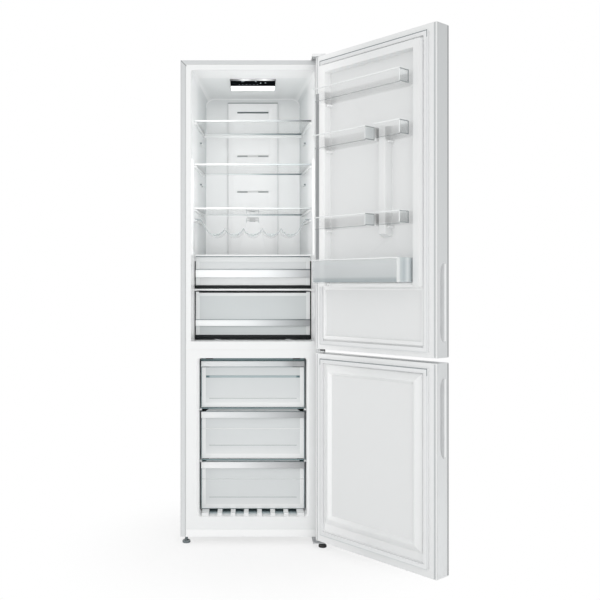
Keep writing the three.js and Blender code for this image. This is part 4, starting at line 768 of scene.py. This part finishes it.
for name, drawer in drawers.items():
    body, floor, top = f"{name}_drawer", drawer["floor"], drawer["top"]
    # The frosted field of each drawer front is lighter towards the bottom: painted light
    frosted = name + "FrostedLitBelow"
    finishes[frosted] = plainFinish(frosted, look(("Z", (floor + 16, 0.9, 0.915, 0.915), (
        floor + 48, 0.8, 0.825, 0.83), (top, 0.76, 0.79, 0.795)), 0.3, 0.05, 0.06, alpha=0.88))
    front = addBlock(f"{name}DrawerFront", around(0, panel["half"]), panel["deep"], (floor, top))
    insetFaces(front, looksOut, (panel["frame"],), (panel["band"],), (panel["step"], -1))
    softenEdges(front, 0.5)
    finishPiece(front, body, "frostedBand")
    tintFaces(front, frosted, lambda at, way: abs(at.x) < panel["field"] and abs(way.y) > square
              and at.z > floor + panel["frame"] + panel["band"])
    # The sides of each drawer front are dark teal: painted shade
    tintFaces(front, "drawerSideShade", lambda at, way: abs(at.x) > panel["side"])
    basket = addBlock(f"{name}DrawerBasket", around(0, basin["half"]), (basin["front"], drawer["rear"]),
                      (floor, top - basin["low"]))
    choose(basket, lambda at, way: way.z > square)
    insetBy(basin["wall"])
    extrudeBy(0, 0, floor - top + basin["low"] + basin["wall"])
    leaveEdit()
    softenEdges(basket, 1.2)
    finishPiece(basket, body, "basketPlastic", (f"{name}_drawer_tub",))
    addGripBar(f"{name}DrawerBar", 216.8, 79.7, top - drawer["bar"], top, body, f"{name}_drawer_handle")
    for label, half, low, high, finish in drawer["lines"]:
        mixedBlock(f"{name}Drawer{label}", (-half, half), (79.5, 80.7), (low, high), 0.4, body, finish)
    if name == "upper":
        continue
    # The ledge that rises behind the bar, with painted shade beyond its slanting ends
    ledge = addBlock(f"{name}DrawerLedge", around(0, slope["half"]), slope["deep"], (top - 5, top - 3))
    choose(ledge, lambda at, way: at.y > 100, "VERT")
    moveBy(0, 0, slope["rise"])
    bpy.ops.transform.resize(value=(slope["rearHalf"] / slope["half"], 1, 1),
                             center_override=atPlace(0, slope["deep"][1], top))
    leaveEdit()
    softenEdges(ledge, 0.4, 1)
    finishPiece(ledge, body, "ledgePlastic")
    mixedBlock(f"{name}DrawerBackShade", (-213.5, 213.5), (104, 106), (top - 12, top + 11), 0.4, body, "darkTrimAndShade")
    # A dark line over the bar: painted shade
    mixedBlock(f"{name}DrawerGapShade", (-213, 213), (79.8, 82.4), (top + 0.1, top + 1.5), 0.4, body, "gapShadeTeal")
# A dark line at the front edge of each freezer shelf: painted shade
for name, height in (("upper", 545.9), ("lower", 329.9)):
    mixedBlock(f"{name}FreezerShelfEdge", (-214, 214), (68.6, 69.9), (height, height + 4.6), 0.4, "cabinet",
               "gapShadeTeal")
print("drawers done")

# Painted shade: dark sheets in the gaps round the drawers, and in the channels of the floor
gaps = {"half": 218.7, "inner": 215.5, "deep": (84, 92), "tall": (124, 752), "clip": 183.5}
channels = {"count": 7, "step": 55, "half": 17.6}
for side in (-1, 1):
    linerBlock(f"gapShadeSheet{side + 2}", (side * gaps["inner"], side * gaps["half"]), gaps["deep"], gaps["tall"],
               0.4, "gapShadeTeal")
    linerBlock(f"topClip{side + 2}", around(side * gaps["clip"], 15.5), (83, 83.9), (752, 757.5), 0.4,
               "darkTrimAndShade")
linerBlock("gapShadeSheetTop", (-217, 217), gaps["deep"], (745.2, 762), 0.6, "gapShadeTeal")
for index in range(channels["count"]):
    middle = (index - channels["count"] // 2) * channels["step"]
    linerBlock(f"channelShade{index}", around(middle, channels["half"]), (34, 200), (112.1, 112.6), 0.15,
               "channelShade")
print("freezer gaps done")

# ---- CAD nodes that keep their shape ----
kept = {
    "casingPaintShade": ["rear_panel", "top_hinge"], "platePaint": ["base_plate"], "zincSteel": ["bottom_hinge"],
    "foamBlock": ["cabinet_foam", "upper_door_foam", "lower_door_foam"], "bareAluminium": ["evaporator"],
    "linerPlastic": ["freezer_rear_cover"], "blackPaint": ["compressor"], "footShade": ["front_foot_left"],
    "whiteTrim": ["drip_tray", "middle_hinge", "evaporator_fan", "top_hinge_cover"],
    "shelfGlass": ["crisper_cover", "freezer_shelf_upper", "freezer_shelf_lower", "upper_shelf_glass",
                   "middle_shelf_glass", "lower_shelf_glass"],
    "darkRubber": ["rear_roller_left", "rear_roller_right", "front_foot_right"],
}
for finish, names in kept.items():
    for node in names:
        mesh = nodes[node].data
        mesh.materials.clear()
        mesh.materials.append(finishes[finish])
deselectAll()
bpy.ops.mesh.primitive_cylinder_add(vertices=32, radius=0.01, depth=0.0075,
                                    location=atPlace(hinge["x"], hinge["y"], 799.3))
bush = bpy.context.object
bush.name = "hingeBush"
settle(bush)
softenEdges(bush, 1)
finishPiece(bush, "cabinet", "darkTrimAndShade")

# ---- doors ----
doors = {"upper": {"span": (806, 1988), "panel": -5, "recess": (859, 1145), "seal": (825, 1965)},
         "lower": {"span": (29, 788), "panel": 6, "recess": (448, 736), "seal": (58, 769)}}
openDoor = {"x": 254.8, "y": -41, "cos": 0.6494, "sin": 0.7604}
lowerField = {"along": (60, 540), "height": (860, 1046)}
# Across and deep with the door closed, how much each end is shorter, and the finish
doorLines = {
    "Seam": ((-295.4, -288), (-10.1, -9.8), 3, "cornerLine"),
    "InnerSeam": ((286.5, 291.5), (-10.1, -9.8), 3, "cornerLine"),
    # Edge is a painted highlight on the door's corner, Rim painted shade along its front edge, Grip a painted
    # highlight beside the handle recess
    "Edge": ((-297.8, -297.4), (-14.8, -11), 2, "doorPanelShadeAndHighlight"),
    "Rim": ((-297.75, -297.3), (-82.4, -75.5), 3, "rimShadeLine"),
    "Grip": ((-297.8, -297.4), (-64, -59.2), 6, "recessRimHighlight"),
}


# Where a spot of the open doors lies: along the door from its hinge side, and out from its frame
def onDoor(at):
    right, back = at.x - openDoor["x"], at.y - openDoor["y"]
    along = openDoor["cos"] * right - openDoor["sin"] * back
    return along, -openDoor["sin"] * right - openDoor["cos"] * back


def inRecess(at, low, high):
    along, out = onDoor(at)
    return between(along, 570, 594.4) and between(out, -49, -24) and low - 1 < at.z < high + 1


for door, shape in doors.items():
    body = f"{door}_door"
    skin = dressCopy(f"{door}_door_skin", f"{door}doorskinShell", 2, body, "doorPaintShade", 3)
    # The handle recess is lightened and its ends whitened: painted light and painted highlights
    tintFaces(skin, "recessPaintedLight", lambda at, way: inRecess(at, *shape["recess"]))
    tintFaces(skin, "recessRimHighlight", lambda at, way: inRecess(at, *shape["recess"]) and abs(way.z) > 0.3)
    inner = copyNode(f"{door}_door_liner", f"{door}DoorLiner", False)
    softenLong(inner, 1.4, 80)
    finishPiece(inner, body, "doorLinerShadedPlastic", (f"{door}_door_liner",), 30)
    # Flat panels take the darker copy as painted shade; faces under the bottle bin are made near white as
    # painted light
    tintFaces(inner, "doorPanelShadeAndHighlight", lambda at, way: abs(onDoor(at)[1] - shape["panel"]) < 0.7)
    tintFaces(inner, "paintedLightPlastic", lambda at, way: between(at.z, 1040, 1066) and way.z < -0.2)
    tintFaces(inner, "doorPanelShadeAndHighlight", lambda at, way: door == "upper" and abs(onDoor(at)[1]) < 0.7
              and between(onDoor(at)[0], *lowerField["along"]) and between(at.z, *lowerField["height"]))
    for label, (across, deep, short, finish) in doorLines.items():
        foot, head = shape["recess" if label == "Grip" else "span"]
        line = addBlock(f"{door}Door{label}", across, deep, (foot + short, head - short))
        finishOpen(line, body, finish)
# A near white ledge under the bottle bin: painted light
ledge = addBlock("doorLedge", (-217.5, 217.5), (-14.5, -1.6), (1057, 1070.6))
softenEdges(ledge, 1)
finishOpen(ledge, "upper_door", "paintedLightPlastic")
# A dark strip on the hinge-side rim: painted shade
strip = addBlock("hingeSideShade", (278.6, 295.4), (-10, -9.3), (1075, 1838))
softenEdges(strip, 0.3, 1)
finishOpen(strip, "upper_door", "stripShade")
print("doors done")

# Gaskets: a ring cut out of a block, with painted shade along its outer edge and darker painted shade towards
# the top
seal = {"outer": 266.5, "wide": 17, "deep": (-9.7, -0.3), "fold": 3.4, "shaded": 26}
for door, shape in doors.items():
    low, high = shape["seal"]
    outer, wide = seal["outer"], seal["wide"]
    ring = addBlock(f"{door}Gasket", (-outer, outer), seal["deep"], (low, high))
    choose(ring, lambda at, way: abs(way.y) > square)
    insetBy(wide)
    bpy.ops.mesh.delete(type="FACE")
    leaveEdit()
    choose(ring, lambda at, way: abs(at.x) < outer - wide + 1
           and low + wide - 1 < at.z < high - wide + 1 and abs(way.y) < 0.1, "EDGE")
    bpy.ops.mesh.bridge_edge_loops()
    leaveEdit()
    softenEdges(ring, 0.8)
    insetFaces(ring, lambda at, way: way.y > 0.99 and at.y > seal["deep"][1] - 0.1, (3,))
    cutAcross(ring, (0, 0, high - seal["shaded"]), (0, 0, 1))
    ring.data.materials.append(finishes["sealRubber"])
    edge, fold = outer - seal["fold"], seal["fold"]
    tintFaces(ring, "sealFoldShade", lambda at, way: way.y > 0.5 and (abs(at.x) > edge or at.z < low + fold))
    tintFaces(ring, "sealShade", lambda at, way: way.y > 0.5 and (
        at.z > high - fold or abs(at.x) > edge and at.z > high - seal["shaded"]))
    finishOpen(ring, f"{door}_door", "sealRubber", (f"{door}_door_gasket",))
print("gaskets done")

# ---- door bins ----
binShape = {"back": -8, "wall": 2.5, "draft": 6, "rim": 2, "rimHeight": 4, "endRear": 32, "bottleRear": -6}
binPlaces = [
    ("top_bin", "top_door_bin", -213.5, 213.5, 88, 1778.5, 1829),
    ("middle_bin_wide", "wide_middle_bin", -54, 213.5, 88, 1595.5, 1648),
    ("middle_bin_narrow", "narrow_middle_bin", -213.5, -96, 88, 1595.5, 1648),
    ("lower_bin_wide", "wide_lower_bin", -54, 213.5, 88, 1281, 1328),
    ("lower_bin_narrow", "narrow_lower_bin", -213.5, -96, 88, 1281, 1328),
    ("bottle_bin", "bottle_door_bin", -213.5, 213.5, 100, 1071, 1162),
]
for node, body, left, right, front, floor, rim in binPlaces:
    wall, draft = binShape["wall"], binShape["draft"]
    rimFoot = rim - binShape["rimHeight"]
    tray = addBlock(node + "Tray", (left, right), (binShape["back"], front), (floor, rim))
    shiftPart(tray, lambda at, way: at.y > front - 1 and at.z < floor + 1 and abs(way.x) > square,
              0, -draft, 0, "EDGE")
    choose(tray, lambda at, way: way.z > square)
    insetBy(wall)
    extrudeBy(0, 0, -(rim - floor - wall))
    leaveEdit()
    shiftPart(tray, lambda at, way: abs(way.x) > square and abs(at.z - floor - wall) < 0.5
              and at.y > front - 2 * wall, 0, -draft, 0, "EDGE")
    cutAcross(tray, (0, 0, rimFoot), (0, 0, 1))
    choose(tray, lambda at, way: way.y > 0.8 and at.z > rimFoot and at.y > front - 2)
    extrudeBy(0, binShape["rim"], 0)
    leaveEdit()
    softenEdges(tray, 0.9)
    tray.data.materials.append(finishes["binPlastic"])
    tintFaces(tray, "clearRim", lambda at, way: at.z > rimFoot - 0.5 and at.y > front - 3)
    finishOpen(tray, body, "binPlastic", (node,))
    tall = node == "bottle_bin"
    rear = binShape["bottleRear" if tall else "endRear"]
    plateTall = (floor + wall + 0.4, rim - 1)
    plate = addBlock(node + "FreeEnd", (left + wall + 0.2, left + wall + 2.4), (rear, front - wall - 1),
                     plateTall)
    insetFaces(plate, lambda at, way: abs(way.x) > square, (3,))
    endFinish = "bottleEnd" if tall else "wideEnd" if "wide" in node else "binEnd"
    plate.data.materials.append(finishes[endFinish])
    if not tall:
        tintFaces(plate, "endLine", lambda at, way: at.z > rim - 4.4 or at.z < floor + wall + 3.6
                  or at.y < rear + 2.6)
        tintFaces(plate, "clearRim", lambda at, way: at.y > front - wall - 4.2 and abs(way.z) < 0.5)
    finishOpen(plate, body, endFinish)
    if "wide" in node:  # carries the end on to the door, so that the bins behind one another stay clear
        plate = addBlock(node + "RearEnd", (left + wall + 0.4, left + wall + 2.2), (-6, rear - 0.2), plateTall)
        # Near white: painted light
        finishOpen(plate, body, "paintedLightPlastic")
    brim = addBlock(node + "FrontFoot", (left + 4, right - 4), (front - draft - 2.2, front - draft + 0.4),
                    (floor - 0.4, floor + 1.4))
    finishOpen(brim, body, "footLine")
    if tall:
        smoke = addBlock("bottleFront", (left + 4, right - 4), (front - wall - 1.6, front - wall - 0.4),
                         (floor + wall + 1, rim - 5))
        shiftPart(smoke, lambda at, way: at.z < floor + wall + 2, 0, -draft * 0.9, 0, "FACE")
        finishOpen(smoke, body, "bottleSmoke")
print("door bins done")

# ---- floor and light ----
room = {"floor": 14, "shade": (0.96, 0.96, 0.96), "roughness": 0.7, "ambient": 0.88, "middle": 0.275,
        "fade": {"From Min": 0.25, "From Max": 0.85, "To Min": 0.7}}
softLights = {
    "keyLight": {"spot": (-0.6, -3.2, 1.3), "aim": (0.3, 0.1, 0.9), "size": (2, 2.4), "power": 8},
    "fillLight": {"spot": (1.6, -3.4, 0.9), "aim": (0.2, 0.2, 0.9), "size": (2.4, 2), "power": 12},
}
# In the fridge's mouth and over the crispers: height, depth, how tall, and power
cavityLights = {"upper": (1.74, -0.03, 0.36, 0.3), "middle": (1.46, -0.03, 0.2, 0.3),
                "lower": (1.285, 0.085, 0.16, 0.28), "crisper": (1.01, -0.03, 0.3, 0.09)}
deselectAll()
bpy.ops.mesh.primitive_plane_add(size=room["floor"], location=(room["middle"], 0, 0))
floorPlane = bpy.context.object
floorPlane.name = "floor"
floorFinish = bpy.data.materials.new("floorFinish")
floorFinish.use_nodes = True
tree = floorFinish.node_tree
shader = tree.nodes["Principled BSDF"]
shader.inputs["Base Color"].default_value = (*room["shade"], 1)
shader.inputs["Roughness"].default_value = room["roughness"]
mix = addNode(tree, "ShaderNodeMixShader")
distance = addNode(tree, "ShaderNodeVectorMath", operation="LENGTH")
tree.links.new(addNode(tree, "ShaderNodeTexCoord").outputs["Object"], distance.inputs[0])
fade = addNode(tree, "ShaderNodeMapRange", interpolation_type="SMOOTHSTEP")
for key, value in room["fade"].items():
    fade.inputs[key].default_value = value
tree.links.new(distance.outputs["Value"], fade.inputs["Value"])
seen = addNode(tree, "ShaderNodeLightPath").outputs["Is Camera Ray"]
tree.links.new(mathNode(tree, "MULTIPLY", fade.outputs["Result"], seen), mix.inputs["Fac"])
tree.links.new(shader.outputs[0], mix.inputs[1])
tree.links.new(addNode(tree, "ShaderNodeEmission").outputs[0], mix.inputs[2])
tree.links.new(mix.outputs[0], tree.nodes["Material Output"].inputs["Surface"])
floorPlane.data.materials.append(floorFinish)

# The room seen straight, in mirrors and through clear parts is white; what it sheds is dimmer
world = bpy.data.worlds.new("studio")
bpy.context.scene.world = world
world.use_nodes = True
tree = world.node_tree
light = tree.nodes["Background"]
white = addNode(tree, "ShaderNodeBackground")
for node, strength in ((light, room["ambient"]), (white, 1)):
    node.inputs["Color"].default_value = (1, 1, 1, 1)
    node.inputs["Strength"].default_value = strength
path = addNode(tree, "ShaderNodeLightPath")
direct = mathNode(tree, "MAXIMUM", path.outputs["Is Camera Ray"], path.outputs["Is Glossy Ray"])
direct = mathNode(tree, "MAXIMUM", direct, path.outputs["Is Transmission Ray"])
mix = addNode(tree, "ShaderNodeMixShader")
tree.links.new(direct, mix.inputs["Fac"])
tree.links.new(light.outputs[0], mix.inputs[1])
tree.links.new(white.outputs[0], mix.inputs[2])
tree.links.new(mix.outputs[0], tree.nodes["World Output"].inputs["Surface"])


def addSoftLight(name, spot, aim, size, power):
    deselectAll()
    away = Vector(spot) - Vector(aim)
    bpy.ops.object.light_add(type="AREA", location=spot, rotation=away.to_track_quat("Z", "Y").to_euler())
    lamp = bpy.context.object
    lamp.name = name
    lamp.data.shape = "RECTANGLE"
    lamp.data.size, lamp.data.size_y = size
    lamp.data.energy = power


for name, light in softLights.items():
    addSoftLight(name, **light)
for name, (height, deep, tall, power) in cavityLights.items():
    addSoftLight(name + "CavityLight", (room["middle"], deep, height), (room["middle"], 0.4, height),
                 (0.44, tall), power)
    bpy.context.object.visible_camera = False
bpy.context.scene.view_settings.view_transform = "Standard"
print("floor and light done")
